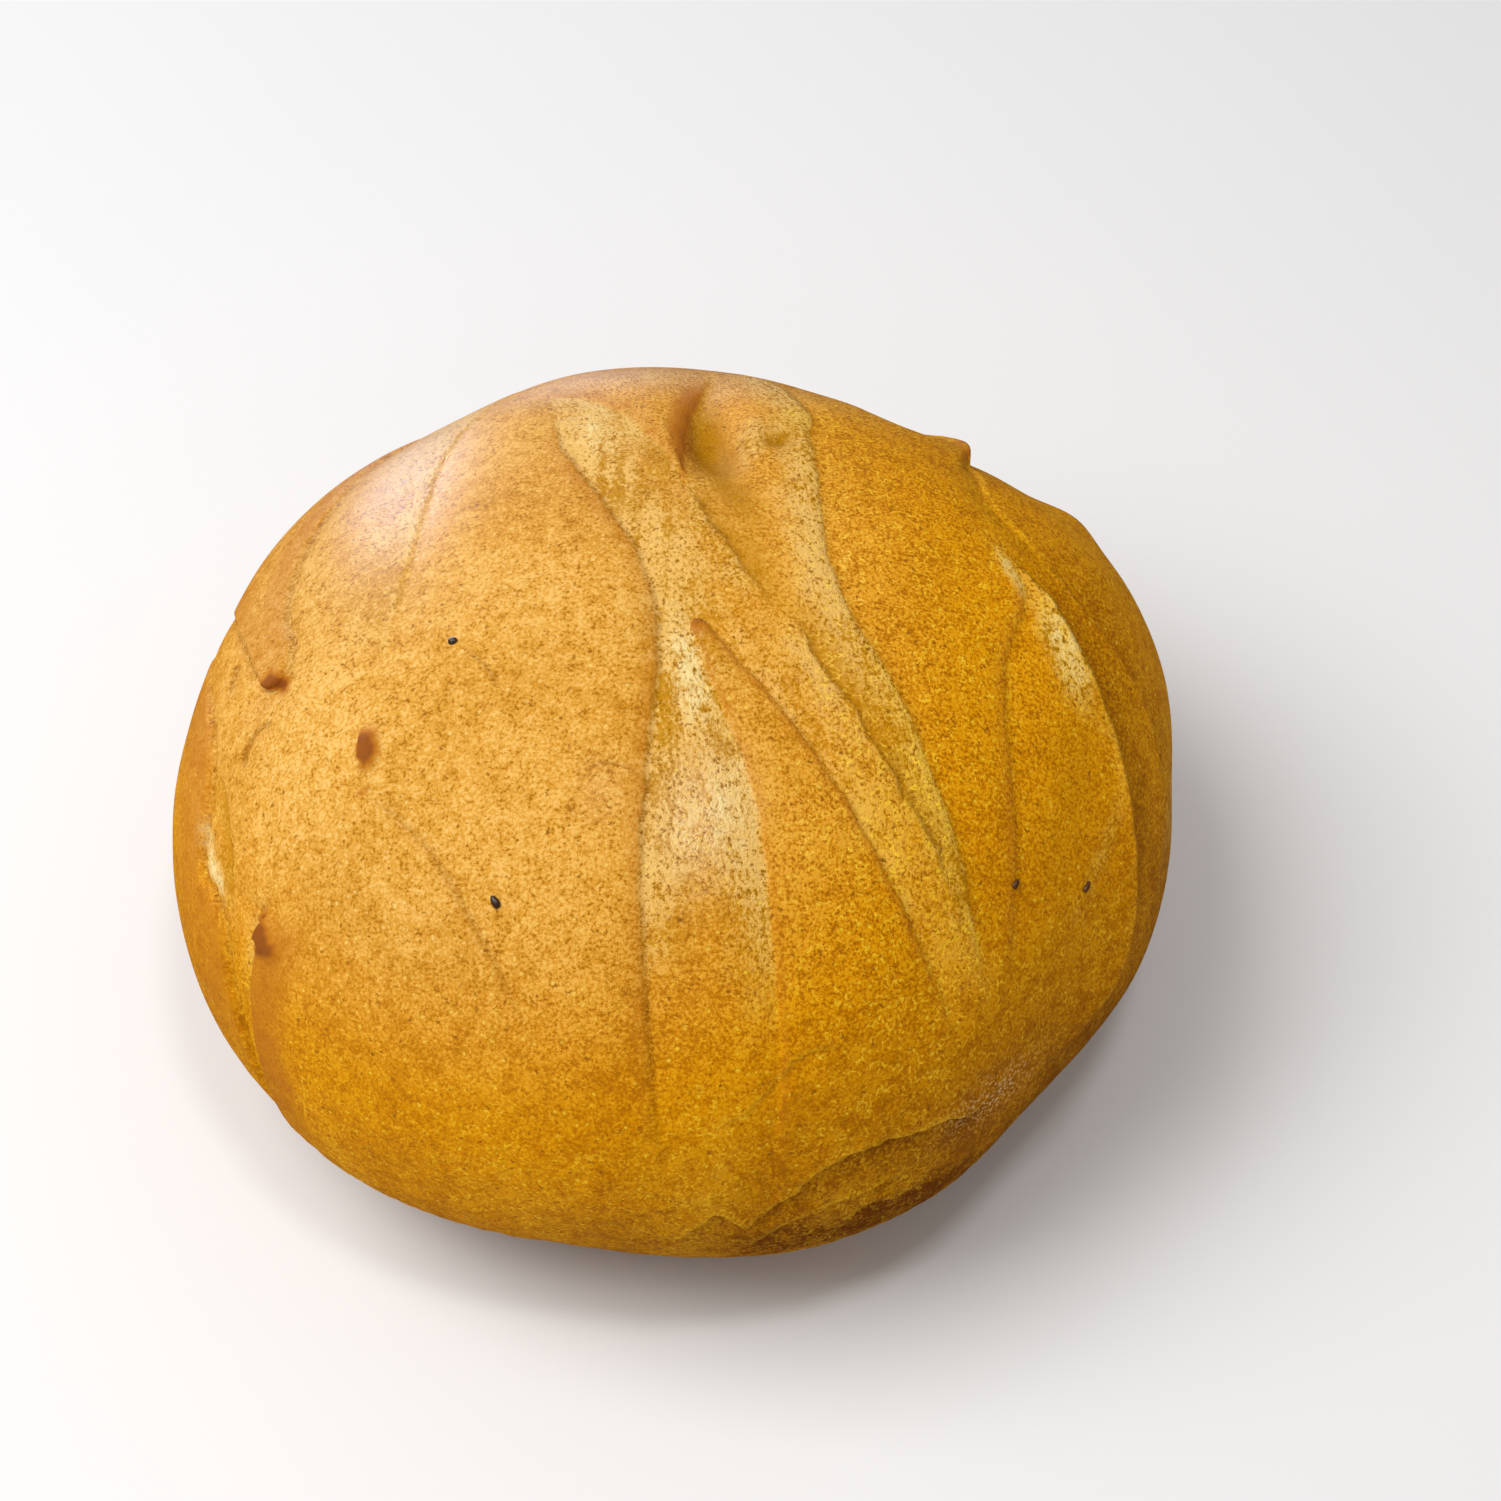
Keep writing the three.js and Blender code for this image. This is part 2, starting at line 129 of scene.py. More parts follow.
EDGES = (
    # outer edge of the slash at the far left
    Edge(
        ((-80, 30), (-70, 0), (-67, -16), (-69.5, -27), (-66.5, -40), (-76, -70)), LEFT,
        (0.8, 2.2), (45, 45), 4.5, 0, 4, pale_and_lit=(0, 0.4), pale_reach=3, brown=(0.5, 0.5), brown_reach=16,
        shade_and_base_brown=(0.5, 0.5), shade_reach=0.8, fray=1.6,
    ),
    # inner edge of the hollow in it
    Edge(
        ((-66.5, -14), (-63, -21), (-62, -30), (-64.5, -38)), RIGHT,
        (1.3, 1.3), (8, 8), 3.5, -0.3, 3, olive_shade=(0.9, 0.9), olive_shade_reach=3, fray=1.3,
    ),
    # upper left tongue, which hangs down from the back
    Edge(
        ((-80, 44), (-67, 14), (-60, -2.5), (-57.3, -6), (-54.6, -2), (-56, 18), (-36, 70)), RIGHT,
        (0.9, 1.2), (30, 40), 5, 0, 4, 1.3, Tip(3, 2.6, 4, 1.7, 3, 0.9), brown=(0.35, 0.4), brown_reach=8,
        shade_and_base_brown=(0.4, 0.5), shade_reach=1.3,
    ),
    # lower left tongue, which stands up from the front
    Edge(
        ((-73, -76), (-64, -53), (-59.5, -44.5), (-56.5, -40.5), (-54, -38)), LEFT,
        (2, 2.4), (30, 6), 5, 0.2, 4, brown=(0.45, 0.65), brown_reach=10, pale_and_lit=(0.7, 0.5), pale_reach=4,
        shade_and_base_brown=(0.8, 0.8), shade_reach=0.8, fray=1.3,
    ),
    # right edge of the broad left slash, down to the small flake
    Edge(
        ((-22, 68), (-33, 38), (-38, 8), (-40.5, -20)), LEFT,
        (0.9, 0.6), (45, 25), 8, 0, 5, 2.2, pale_ridge=(0.9, 0.4), ridge_reach=14,
    ),
    # the same edge below the flake
    Edge(
        ((-42, -29), (-32, -39.5), (-23, -54), (-15, -68)), LEFT,
        (1.2, 1.0), (10, 25), 8, -0.5, 4, 0.9, brown=(0.2, 0.15), shade_and_base_brown=(0.6, 0.5), shade_reach=0.6,
    ),
    # left edge of the middle slash
    Edge(
        ((-19, 45), (-16, 29), (-4, 4), (-1, -14), (-3, -46), (1, -92)), LEFT,
        (1.5, 1.4), (18, 50), 8, -0.65, 4.5, 0.8, pale_and_lit=(0.95, 0.6), pale_reach=12, brown=(0.35, 0.3),
        brown_reach=3, shade_and_base_brown=(0.6, 0.6), shade_reach=0.7,
    ),
    # wedge of skin at the back, beside the hollow
    Edge(
        ((-26, 50), (-10, 41.5), (0, 27), (2.4, 22), (2.4, 29), (3, 40), (7, 55)), RIGHT,
        (0.5, 1.8), (15, 18), 7, -0.4, 5, 2.4, Tip(3, 1, 4, 0.5, 3), pale_and_lit=(0.6, 0.2), brown=(0.3, 0.8),
        brown_reach=4,
    ),
    # leaf of skin in the middle, with its tip just before the crown
    Edge(
        ((18, -94), (14, -42), (6, -16), (4.5, -8), (10, -13.5), (26, -35), (46, -66)), LEFT,
        (0.8, 1.4), (45, 35), 6, -0.4, 4, 1.1, Tip(3, 1.6, 5, 0.9, 4, 0.6), pale_and_lit=(0.8, 0.4), pale_reach=10,
        brown=(0.3, 0.4), grain=30,
    ),
    # valley from the wedge past the leaf
    Edge(
        ((2.4, 22), (8, 9), (18, -9)), LEFT,
        (0.8, 0.6), (8, 14), 5, 0, 4, 1.5, pale_ridge=(0.6, 0.5), ridge_reach=9, shade_and_base_brown=(0.2, 0.2),
        shade_reach=0.9, olive_shade=(0.9, 0.7), olive_shade_reach=4, grain=30, fray=2.4,
    ),
    # the same valley further down
    Edge(
        ((16.5, -3), (21.5, -12), (36.5, -36), (44, -50)), LEFT,
        (0.7, 0.9), (12, 25), 5, 0, 4, 1.3, pale_ridge=(0.5, 0.3), ridge_reach=9, shade_and_base_brown=(0.3, 0.25),
        shade_reach=0.9, olive_shade=(0.8, 0.7), olive_shade_reach=4, grain=30, fray=2.4,
    ),
    # ridge that bounds the middle slashes on the right
    Edge(
        ((10, 62), (20, 44), (21.5, 29), (25, 0), (36.5, -25), (49, -62)), LEFT,
        (0.4, 0.45), (18, 40), 9, 1.1, 6, 3, pale_ridge=(0.85, 0.65), ridge_reach=7, grain=30, fray=1.3,
    ),
    # left edge of the right slash, deepest near its top
    Edge(
        ((48, 15), (50, 3), (48, -10), (50, -40), (49, -62)), LEFT,
        (1.1, 0.6), (12, 30), 6, -0.4, 4, 2.5, brown=(0.4, 0.25), brown_reach=3,
    ),
    # ridge on the right of that slash
    Edge(
        ((48, 15), (56.5, -1), (66, -21), (70.5, -42), (60, -64)), LEFT,
        (2.2, 2.4), (14, 28), 11, 1.5, 7, 1, pale_ridge=(0.6, 0.0), ridge_reach=3.5, crest_highlight=(0.4, 0.2),
        brown=(0.2, 0.9), brown_reach=0.8, shade_and_base_brown=(0.35, 1.05), shade_reach=14,
    ),
    # skin strip beyond, where it starts at the back
    Edge(
        ((40, 60), (45.5, 39), (47, 25), (59, 8)), RIGHT,
        (0.6, 0.4), (25, 15), 7, 0.3, 4, crest_highlight=(0.45, 0.3), olive_shade=(0.7, 0.5), olive_shade_reach=5,
    ),
    # lifted corner at the back right
    Edge(
        ((38, 68), (45.8, 47), (42, 32)), LEFT,
        (2.3, 2.3), (24, 18), 8, 1.4, 3, 4, brown=(0.9, 0.9),
    ),
    # slash at the far right
    Edge(
        ((52, 17), (64, 6), (76, -9), (85, -42)), LEFT,
        (1.4, 1.4), (18, 35), 7, 0.5, 5, 1.6, shade_and_base_brown=(0.4, 0.5),
    ),
    # main fold of the crumpled skin low on the front right
    Edge(
        ((-12, -87), (2, -91), (8, -86.5), (14, -88), (24, -78.5), (36, -72.5), (49, -67.5), (54, -60)),
        RIGHT, (0.7, 0.9), (15, 12), 4, 0.5, 2.5, 0.7, crest_highlight=(0.6, 0.7), shade_and_base_brown=(0.55, 0.95),
        shade_reach=15, fray=2.2,
    ),
    # fold below it
    Edge(
        ((25, -97), (31, -86.7), (34, -83.6), (39, -82), (44, -78), (50, -72)), RIGHT,
        (0.8, 0.8), (12, 10), 5, 0.5, 2.5, 0.7, crest_highlight=(0.5, 0.5), shade_and_base_brown=(0.6, 0.6),
        shade_reach=10, fray=2.2,
    ),
    # smaller fold between the two
    Edge(
        ((12, -95), (20, -88), (27, -83.5), (36, -79), (45, -73)), RIGHT,
        (0.5, 0.6), (8, 8), 3, 0.6, 2, 0.7, crest_highlight=(0.5, 0.6), shade_and_base_brown=(0.5, 0.5), shade_reach=5, fray=2.4,
    ),
    # faint fold above them
    Edge(
        ((5.5, -73.5), (12, -72), (19, -65), (27, -62)), RIGHT,
        (0.3, 0.3), (8, 6), 3, 0.5, 2, crest_highlight=(0.3, 0.3), fray=2,
    ),
    # small crack below the tip of the upper left tongue
    Edge(
        ((-55.5, -13), (-58.5, -13), (-60.2, -16), (-59.5, -19)), LEFT,
        (0.7, 0.7), (2, 2), 2.5, 0.3, 2, 0.7, shade_and_base_brown=(1, 1), shade_reach=0.6,
    ),
    # small crack to the left of that tongue
    Edge(
        ((-64.5, 4), (-65.5, 0), (-66, -3)), LEFT,
        (0.7, 0.7), (2, 2), 2.5, 0.3, 2, 0.7, shade_and_base_brown=(1, 1), shade_reach=0.6,
    ),
    # hairline crack in the broad lobe left of the middle
    Edge(
        ((-11.4, -32.7), (-7, -31.7), (-2.5, -33.2)), LEFT,
        (0.3, 0.3), (3, 3), 2, 0.3, 2, 0.7, shade_and_base_brown=(0.8, 0.8), shade_reach=0.4, fray=1.5,
    ),
    # hairline crack further back in that lobe
    Edge(
        ((-29, -11), (-26.6, -13), (-23.2, -19)), LEFT,
        (0.3, 0.3), (3, 3), 2, 0.3, 2, 0.7, shade_and_base_brown=(0.8, 0.8), shade_reach=0.4, fray=1.5,
    ),
)


@dataclass
class Spot:
    """A patch of the crust: half length, half width, turn of its long way from the right, amount."""

    place: tuple
    long: float
    wide: float
    turn: float
    amount: float


PATTERN_SHIFT = (7.31, 3.17, 5.73)  # from one pattern of the noise to the next


@dataclass
class Waves:
    """Smooth noise around 0: the size of its bumps, their height and the number of the pattern."""

    size: float
    height: float
    pattern: int

    def at(self, points):
        shift = Vector([self.pattern * part for part in PATTERN_SHIFT])
        return self.height * np.array([noise.noise(Vector(point) + shift) for point in points / self.size])

    def ridges(self, points):
        """Sharp ridges with rounded hollows between them, as in wrinkled skin."""
        return self.height - 2 * np.abs(self.at(points))


# Lumps and hollows, with their heights as amounts.
LUMPS = (
    Spot((7.5, 33), 12, 5.4, 95, -4),  # hollow at the back
    Spot((12.5, 32), 7.5, 3, 85, 1.5),  # mound inside the hollow
    Spot((16.8, 32.5), 3, 2, 40, -1.2),  # pit beside the mound
)
# Flakes of skin that stand up with steep, uneven sides.
FLAKES = (
    Spot((-40.6, -23.5), 3.6, 2, 80, 1.6),  # at the end of the broad left slash
    Spot((-56.2, -42.2), 4.2, 2.4, 65, 1.2),  # on the tip of the lower left tongue
)
FLAKE_STEEPNESS = 4
FLAKE_FRAY = Waves(1.5, 0.42, 36)
FLAKE_BROWN = 1.4
# Stray seeds, with half their thickness as amount.
SEEDS = (
    Spot((-30.3, -9.5), 0.85, 0.7, 0, 0.55),
    Spot((-22.5, -47), 1.15, 0.7, 100, 0.6),
    Spot((49.7, -38.4), 0.95, 0.55, 80, 0.45),
    Spot((61, -34.2), 1.15, 0.5, 85, 0.45),
)
# White crumb that shows where the skin tore.
CRUMB_SPOTS = (
    Spot((7, -38), 10, 7, 80, 0.5),  # bulge of the middle slash: white crumb and a painted highlight
    Spot((3.6, -17.5), 11, 2.8, 101, 0.75),  # beside the leaf's tip
    Spot((48.6, 9.5), 6, 1.1, -72, 0.5),  # sliver at the top of the right slash
    Spot((55, -2), 9, 2.8, -52, 0.45),  # patch below the sliver
    Spot((-67, -28), 8, 2.6, 85, 0.9),  # hollow at the far left
    Spot((-12, 36), 12, 5, 110, 0.45),  # back of the middle slash
)
CRUMB_FRAY = Waves(2.2, 0.8, 41)
# Torn walls that show as pale as the floors.
WALL_SPOTS = (
    Spot((48.6, 9.5), 6, 1.2, -72, 1),  # sliver at the top of the right slash
    Spot((12.4, 32), 8, 2.6, 85, 0.9),  # mound in the hollow at the back
    Spot((55, -2), 10, 3, -52, 1.2),  # patch below the sliver
    Spot((63, -28), 16, 2.2, -72, 0.4),  # beside the ridge of the right slash
)
FLOORS_END = (72, 40)  # degrees in front of the crown, where the torn floors fade out
# Where the crust shines.
GLOSS_SPOTS = (
    Spot((-40, 29), 24, 10, 102, 1),  # upper left
    Spot((5, -38), 10, 6, 85, 1.8),  # bulge of the middle slash
    Spot((-8.5, -35), 6, 4, 90, 0.4),  # lobe beside it
    Spot((-4, 54), 28, 10, 0, 0.6),  # back
)
# Painted sheen that makes the skin paler.
PAINTED_SHEEN_SPOTS = (
    Spot((-5, 52), 30, 12, 0, 0.9),  # back
    Spot((84, -8), 14, 3, -70, 0.6),  # floor of the slash at the far right
)
# Flour that stuck to the folds.
FLOUR_SPOTS = (
    Spot((52, -65.5), 8, 4, 40, 1),
)
# Skin browned where it stuck out.
BROWN_SPOTS = (
    Spot((-56, -6.5), 3.5, 1.3, -35, 1.5),  # tip of the upper left tongue
    Spot((-41.1, -29.2), 1.3, 0.7, 20, 0.9),  # below the small flake
    Spot((45, 45.5), 2.6, 1.6, 107, 1.2),  # lifted corner at the back right
    Spot((61.5, 36), 3, 1.4, 110, 0.5),  # bump beyond that corner
)
# Painted shade: greenish gold in the hollows and valleys, and darker skin where shade falls.
OLIVE_SHADE_SPOTS = (
    Spot((6.8, 33), 15, 3.6, 96, 1.7),  # hollow at the back
    Spot((9.6, 19.5), 11, 3.2, 108, 1.1),  # valley in front of it
    Spot((12.6, 7), 8, 2, 115, 0.6),  # the valley's end
    Spot((16.8, 32.5), 3.6, 1.8, 60, 1.3),  # pit beside the mound
    Spot((58, -22), 26, 4, -75, 0.3),  # floor of the right slash
)
SHADED_SPOTS = (
    Spot((3.4, 34), 12, 1.3, 95, 0.6),  # left wall of the hollow at the back
    Spot((36, -88), 34, 11, 38, 1.5),  # below the folds
)

# How far torn edges stray from their smooth paths, and how their colours end.
FRAY = 0.45
FRAY_SIZE = 6
FINE_FRAY = 0.2
FINE_FRAY_SIZE = 1.8
COLOUR_SEAM = 0.7  # width over which the colour changes from one side to the other
CREST_HIGHLIGHT_REACH = 0.7
FADE_POWER = 2  # how suddenly a colour ends away from its edge
LIP_FADE_POWER = 4  # the same for a browned lip

# The mesh: rows of corners beside the torn edges, and corners spread over the rest.
ROW_OFFSETS = (0, 0.45, -0.45, 0.95, -0.95, 1.7, -1.7)
ROW_STEP = 0.6
ROW_GAP = 0.36
LEAST_STEP = 0.12  # lower steps get no rows
FILL_CORNERS = 84000
FILL_GAP = 0.6
UNDERSIDE_SHARE = 0.97  # of the way down, where corners become sparse
UNDERSIDE_THINNING = 8  # one corner in so many stays there
POINTS_PER_SPAN = 24
POINTS_AT_ONCE = 20000  # measured together, to save memory
GOLDEN_TURN = math.pi * (3 - math.sqrt(5))
LEAST_DROP = 1e-6  # keeps a division finite above the widest level
SAME_CORNER = 1e-9


def smoothstep(value, low, high):
    share = np.clip((value - low) / (high - low), 0, 1)
    return share * share * (3 - 2 * share)


def lerp(first, second, share):
    return first + (second - first) * share


def unit(vectors):
    return vectors / np.linalg.norm(vectors, axis=-1, keepdims=True)


def dot(first, second):
    return np.sum(first * second, axis=-1)


def direction_at(places):
    """Unit vectors from the middle of the widest level to places on the crust."""
    places = np.asarray(places, float)
    polar = np.radians(np.hypot(places[:, 0], places[:, 1]))
    heading = np.arctan2(places[:, 1], places[:, 0])
    flat = np.sin(polar)
    return np.column_stack([flat * np.cos(heading), flat * np.sin(heading), np.cos(polar)])


def place_of(directions):
    """The reverse of direction_at."""
    polar = np.degrees(np.arccos(np.clip(directions[:, 2], -1, 1)))
    heading = np.arctan2(directions[:, 1], directions[:, 0])
    return np.column_stack([polar * np.cos(heading), polar * np.sin(heading)])


def body_points(directions):
    """Points of the smooth body, from the middle of the widest level."""
    flat = np.hypot(directions[:, 0], directions[:, 1])
    heading = np.arctan2(directions[:, 1], directions[:, 0])
    plan = 1 / np.hypot(np.cos(heading) / HALF_WIDTH, np.sin(heading) / HALF_DEPTH)
    for count, cosine, sine in PLAN_WAVES:
        plan = plan + cosine * np.cos(count * heading) + sine * np.sin(count * heading)
    rise = np.where(directions[:, 2] > 0, CROWN_RISE, UNDER_DROP)
    total = (flat / plan) ** SQUARENESS + (np.abs(directions[:, 2]) / rise) ** SQUARENESS
    radius = total ** (-1 / SQUARENESS)
    for place, spread, height in SWELLINGS:
        away = np.arccos(np.clip(directions @ direction_at([place])[0], -1, 1))
        radius = radius + height * np.exp(-((away / np.radians(spread)) ** 2))
    foot = FOOT_MARGIN * WIDEST_LEVEL / np.maximum(-directions[:, 2], LEAST_DROP)
    radius = (radius**-FOOT_SHARPNESS + foot**-FOOT_SHARPNESS) ** (-1 / FOOT_SHARPNESS)
    return directions * radius[:, None]


def spline(points):
    """A smooth curve through the points."""
    points = np.asarray(points, float)
    padded = np.vstack([points[:1], points, points[-1:]])
    share = np.arange(POINTS_PER_SPAN)[:, None] / POINTS_PER_SPAN
    spans = []
    for before, start, end, after in zip(padded, padded[1:], padded[2:], padded[3:]):
        leave = (end - before) / 2
        arrive = (after - start) / 2
        square = 3 * (end - start) - 2 * leave - arrive
        cube = 2 * (start - end) + leave + arrive
        spans.append(start + leave * share + square * share**2 + cube * share**3)
    return np.vstack(spans + [points[-1:]])


def lengths_along(points):
    return np.concatenate([[0], np.cumsum(np.linalg.norm(np.diff(points, axis=0), axis=1))])


class LaidEdge:
    """A torn edge laid on the body, with evenly spaced points."""

    def __init__(self, edge, pattern):
        self.edge = edge
        places = spline(edge.path)
        rough_along = lengths_along(body_points(direction_at(places)))
        self.length = rough_along[-1]
        self.tip_along = rough_along[edge.tip.point * POINTS_PER_SPAN] if edge.tip else 0
        self.along = np.linspace(0, self.length, max(2, round(self.length / ROW_STEP)) + 1)
        even = [np.interp(self.along, rough_along, places[:, axis]) for axis in (0, 1)]
        self.points = body_points(direction_at(np.column_stack(even)))
        fray = Waves(FRAY_SIZE, FRAY, pattern).at(self.points)
        fray = edge.fray * (fray + Waves(FINE_FRAY_SIZE, FINE_FRAY, pattern).at(self.points))
        self.points = body_points(unit(self.points + self.lefts() * fray[:, None]))
        self.grown = smoothstep(self.along, 0, edge.fade[0])
        self.grown = self.grown * smoothstep(self.length - self.along, 0, edge.fade[1])
        self.steps = self.between(edge.step)
        if edge.tip:
            self.steps = lerp(self.steps, edge.tip.step, self.tip_share(edge.tip.spread))
        self.steps = self.steps * self.grown

    def headings(self):
        return unit(np.gradient(self.points, axis=0))

    def lefts(self):
        return unit(np.cross(self.points, self.headings()))

    def tip_share(self, spread):
        return np.exp(-(((self.along - self.tip_along) / spread) ** 2))

    def between(self, pair):
        """A pair's values along the path."""
        tip = self.edge.tip
        if tip:
            share = smoothstep(self.along, self.tip_along - tip.spread, self.tip_along + tip.spread)
        else:
            share = self.along / self.length
        return lerp(pair[0], pair[1], share)

    def nearest(self, points):
        """For each point, how far it is into the low side, how far along, and the way to that side."""
        parts = np.array_split(points, max(1, len(points) // POINTS_AT_ONCE))
        found = [self.nearest_of(part) for part in parts]
        return [np.concatenate(values) for values in zip(*found)]

    def nearest_of(self, points):
        corner = np.argmax(points @ self.points.T - dot(self.points, self.points) / 2, axis=1)
        best = np.full(len(points), np.inf)
        along = np.zeros(len(points))
        offset = np.zeros((len(points), 3))
        for start in (np.maximum(corner - 1, 0), np.minimum(corner, len(self.points) - 2)):
            span = self.points[start + 1] - self.points[start]
            share = np.clip(dot(points - self.points[start], span) / dot(span, span), 0, 1)
            away = points - self.points[start] - share[:, None] * span
            distance = np.linalg.norm(away, axis=1)
            nearer = distance < best
            best = np.where(nearer, distance, best)
            along = np.where(nearer, lerp(self.along[start], self.along[start + 1], share), along)
            offset = np.where(nearer[:, None], away, offset)
        index = np.clip(np.searchsorted(self.along, along), 0, len(self.along) - 1)
        lefts = self.lefts()[index]
        side = np.where(dot(lefts, offset) < 0, -1, 1) * self.edge.low
        return best * side, along, lefts * self.edge.low


LAID_EDGES = [LaidEdge(edge, pattern) for pattern, edge in enumerate(EDGES)]


def spot_frame(spot):
    """A spot's middle on the body, and its long and its wide way there."""
    out = direction_at([spot.place])
    middle = body_points(out)[0]
    turn = math.radians(spot.turn)
    way = np.array([math.cos(turn), math.sin(turn), 0])
    long = unit(way - out[0] * (way @ out[0]))
    return middle, long, np.cross(out[0], long)


def across(spot, points):
    """How far out points of the body lie in a spot: 0 at its middle, 1 at its rim."""
    middle, long, wide = spot_frame(spot)
    offset = points - middle
    beyond = offset @ unit(middle) / spot.long
    return np.hypot(np.hypot(offset @ long / spot.long, offset @ wide / spot.wide), beyond)


def within(spot, points):
    """How much a spot counts at points of the body: 1 at its middle, fading out past its rim."""
    return np.exp(-(across(spot, points) ** 2))


class Crust:
    """The crust's relief and colours at points of the smooth body."""

    def __init__(self, points):
        self.points = points
        self.shift = np.zeros((len(points), 3))
        self.height, self.floor, self.brown, self.shade_and_base_brown = np.zeros((4, len(points)))
        self.olive_shade, self.crest_highlight, self.grain = np.zeros((3, len(points)))
        for laid in LAID_EDGES:
            self.tear(laid)
        for lump in LUMPS:
            self.height += lump.amount * within(lump, points)
        fray = FLAKE_FRAY.at(points)
        for spot in FLAKES:
            flake = np.exp(-(np.maximum(across(spot, points) + fray, 0) ** FLAKE_STEEPNESS))
            self.height += spot.amount * flake
            self.brown = np.maximum(self.brown, FLAKE_BROWN * flake)
        self.brown = np.maximum(self.brown, self.spots(BROWN_SPOTS))
        self.shade_and_base_brown = np.maximum(self.shade_and_base_brown, self.spots(SHADED_SPOTS))
        self.olive_shade = np.maximum(self.olive_shade, self.spots(OLIVE_SHADE_SPOTS))
        self.floor *= smoothstep(-place_of(unit(points))[:, 1], *FLOORS_END)
        self.floor = np.maximum(self.floor, self.spots(WALL_SPOTS))
        self.crumb = np.clip(self.spots(CRUMB_SPOTS) * (1 + CRUMB_FRAY.at(points)), 0, 1)
        self.gloss = self.spots(GLOSS_SPOTS)
        self.pale_and_lit = self.spots(PAINTED_SHEEN_SPOTS)
        self.flour = self.spots(FLOUR_SPOTS)

    def spots(self, spots):
        amount = np.zeros(len(self.points))
        for spot in spots:
            amount = np.maximum(amount, spot.amount * within(spot, self.points))
        return amount

    def tear(self, laid):
        """Adds one torn edge."""
        edge = laid.edge
        depth, along, way = laid.nearest(self.points)
        step = np.interp(along, laid.along, laid.steps)
        sunk = smoothstep(depth, -edge.wall / 2, edge.wall / 2)
        inside = smoothstep(depth, -COLOUR_SEAM / 2, COLOUR_SEAM / 2)
        outside = 1 - inside
        down = -step * np.exp(-np.maximum(depth, 0) / edge.reach)
        up = edge.lip * step * np.exp(-np.maximum(-depth, 0) / edge.lip_reach)
        self.height += lerp(up, down, sunk)

        def amount(pair, reach, side, power=FADE_POWER):
            value = np.interp(along, laid.along, laid.between(pair) * laid.grown)
            return value * np.exp(-((depth / reach) ** power)) * side

        floor = np.maximum(
            amount(edge.pale_and_lit, edge.pale_reach, inside), amount(edge.pale_ridge, edge.ridge_reach, outside)
        )
        self.grain = np.where(floor > self.floor, edge.grain, self.grain)
        self.floor = np.maximum(self.floor, floor)
        self.shade_and_base_brown = np.maximum(self.shade_and_base_brown, amount(edge.shade_and_base_brown, edge.shade_reach, inside))
        self.olive_shade = np.maximum(self.olive_shade, amount(edge.olive_shade, edge.olive_shade_reach, inside))
        self.crest_highlight = np.maximum(self.crest_highlight, amount(edge.crest_highlight, CREST_HIGHLIGHT_REACH, outside))
        brown = amount(edge.brown, edge.brown_reach, outside, LIP_FADE_POWER)
        if edge.tip:
            near = np.interp(along, laid.along, laid.tip_share(edge.tip.brown_reach))
            near = near * np.exp(-((depth / edge.tip.brown_reach) ** FADE_POWER)) * outside
            brown = np.maximum(brown, edge.tip.brown * near)
            self.shift += way * (edge.tip.overhang * near)[:, None]
        self.brown = np.maximum(self.brown, brown)


def tree_of(points):
    tree = kdtree.KDTree(len(points))
    for index, point in enumerate(points):
        tree.insert(point, index)
    tree.balance()
    return tree


def thinned(points, gap):
    """The points without those closer than the gap to one that comes before."""
    tree = tree_of(points)
    dropped = np.zeros(len(points), bool)
    for index, point in enumerate(points):
        if not dropped[index]:
            for _, other, _ in tree.find_range(point, gap):
                dropped[other] |= other > index
    return points[~dropped]


def edge_rows():
    """Points in rows along the torn edges."""
    rows = []
    for offset in ROW_OFFSETS:
        for laid in LAID_EDGES:
            torn = laid.steps > LEAST_STEP
            rows.append(body_points(unit(laid.points + laid.lefts() * offset))[torn])
    return thinned(np.vstack(rows), ROW_GAP)


def even_directions(count):
    """Directions spread evenly over a ball, along a spiral."""
    index = np.arange(count)
    height = 1 - (2 * index + 1) / count
    heading = index * GOLDEN_TURN
    flat = np.sqrt(1 - height**2)
    return np.column_stack([flat * np.cos(heading), flat * np.sin(heading), height])


def fill_points(rows):
    """Points spread evenly over the body, clear of the rows and sparse on the underside."""
    points = body_points(even_directions(FILL_CORNERS))
    under = points[:, 2] < -UNDERSIDE_SHARE * WIDEST_LEVEL
    points = points[~under | (np.arange(len(points)) % UNDERSIDE_THINNING == 0)]
    tree = tree_of(rows)
    return points[[tree.find(point)[2] > FILL_GAP for point in points]]


def triangles_between(directions):
    """Triangles between directions, of which the last points straight down.

    Seen from the lowest point of the ball the others lie on a plane, with their circles kept round.
    """
    flat = directions[:-1, :2] / (1 + directions[:-1, 2:])
    corners = [Vector(point) for point in flat]
    _, _, faces, origins, _, _ = delaunay_2d_cdt(corners, [], [], 0, SAME_CORNER, True)
    faces = [tuple(origins[corner][0] for corner in face) for face in faces]
    sides = {side for face in faces for side in zip(face, face[1:] + face[:1])}
    lowest = len(directions) - 1
    return faces + [(end, start, lowest) for start, end in sides if (end, start) not in sides]


def make_object(name, points, faces, material):
    """A smooth mesh object from points in millimetres."""
    mesh = bpy.data.meshes.new(name)
    mesh.from_pydata((np.asarray(points) * MM).tolist(), [], faces)
    mesh.shade_smooth()
    mesh.materials.append(material)
    piece = bpy.data.objects.new(name, mesh)
    bpy.context.scene.collection.objects.link(piece)
    return piece


def set_attribute(piece, name, values):
    attribute = piece.data.attributes.new(name, "FLOAT", "POINT")
    attribute.data.foreach_set("value", np.asarray(values, np.float32))


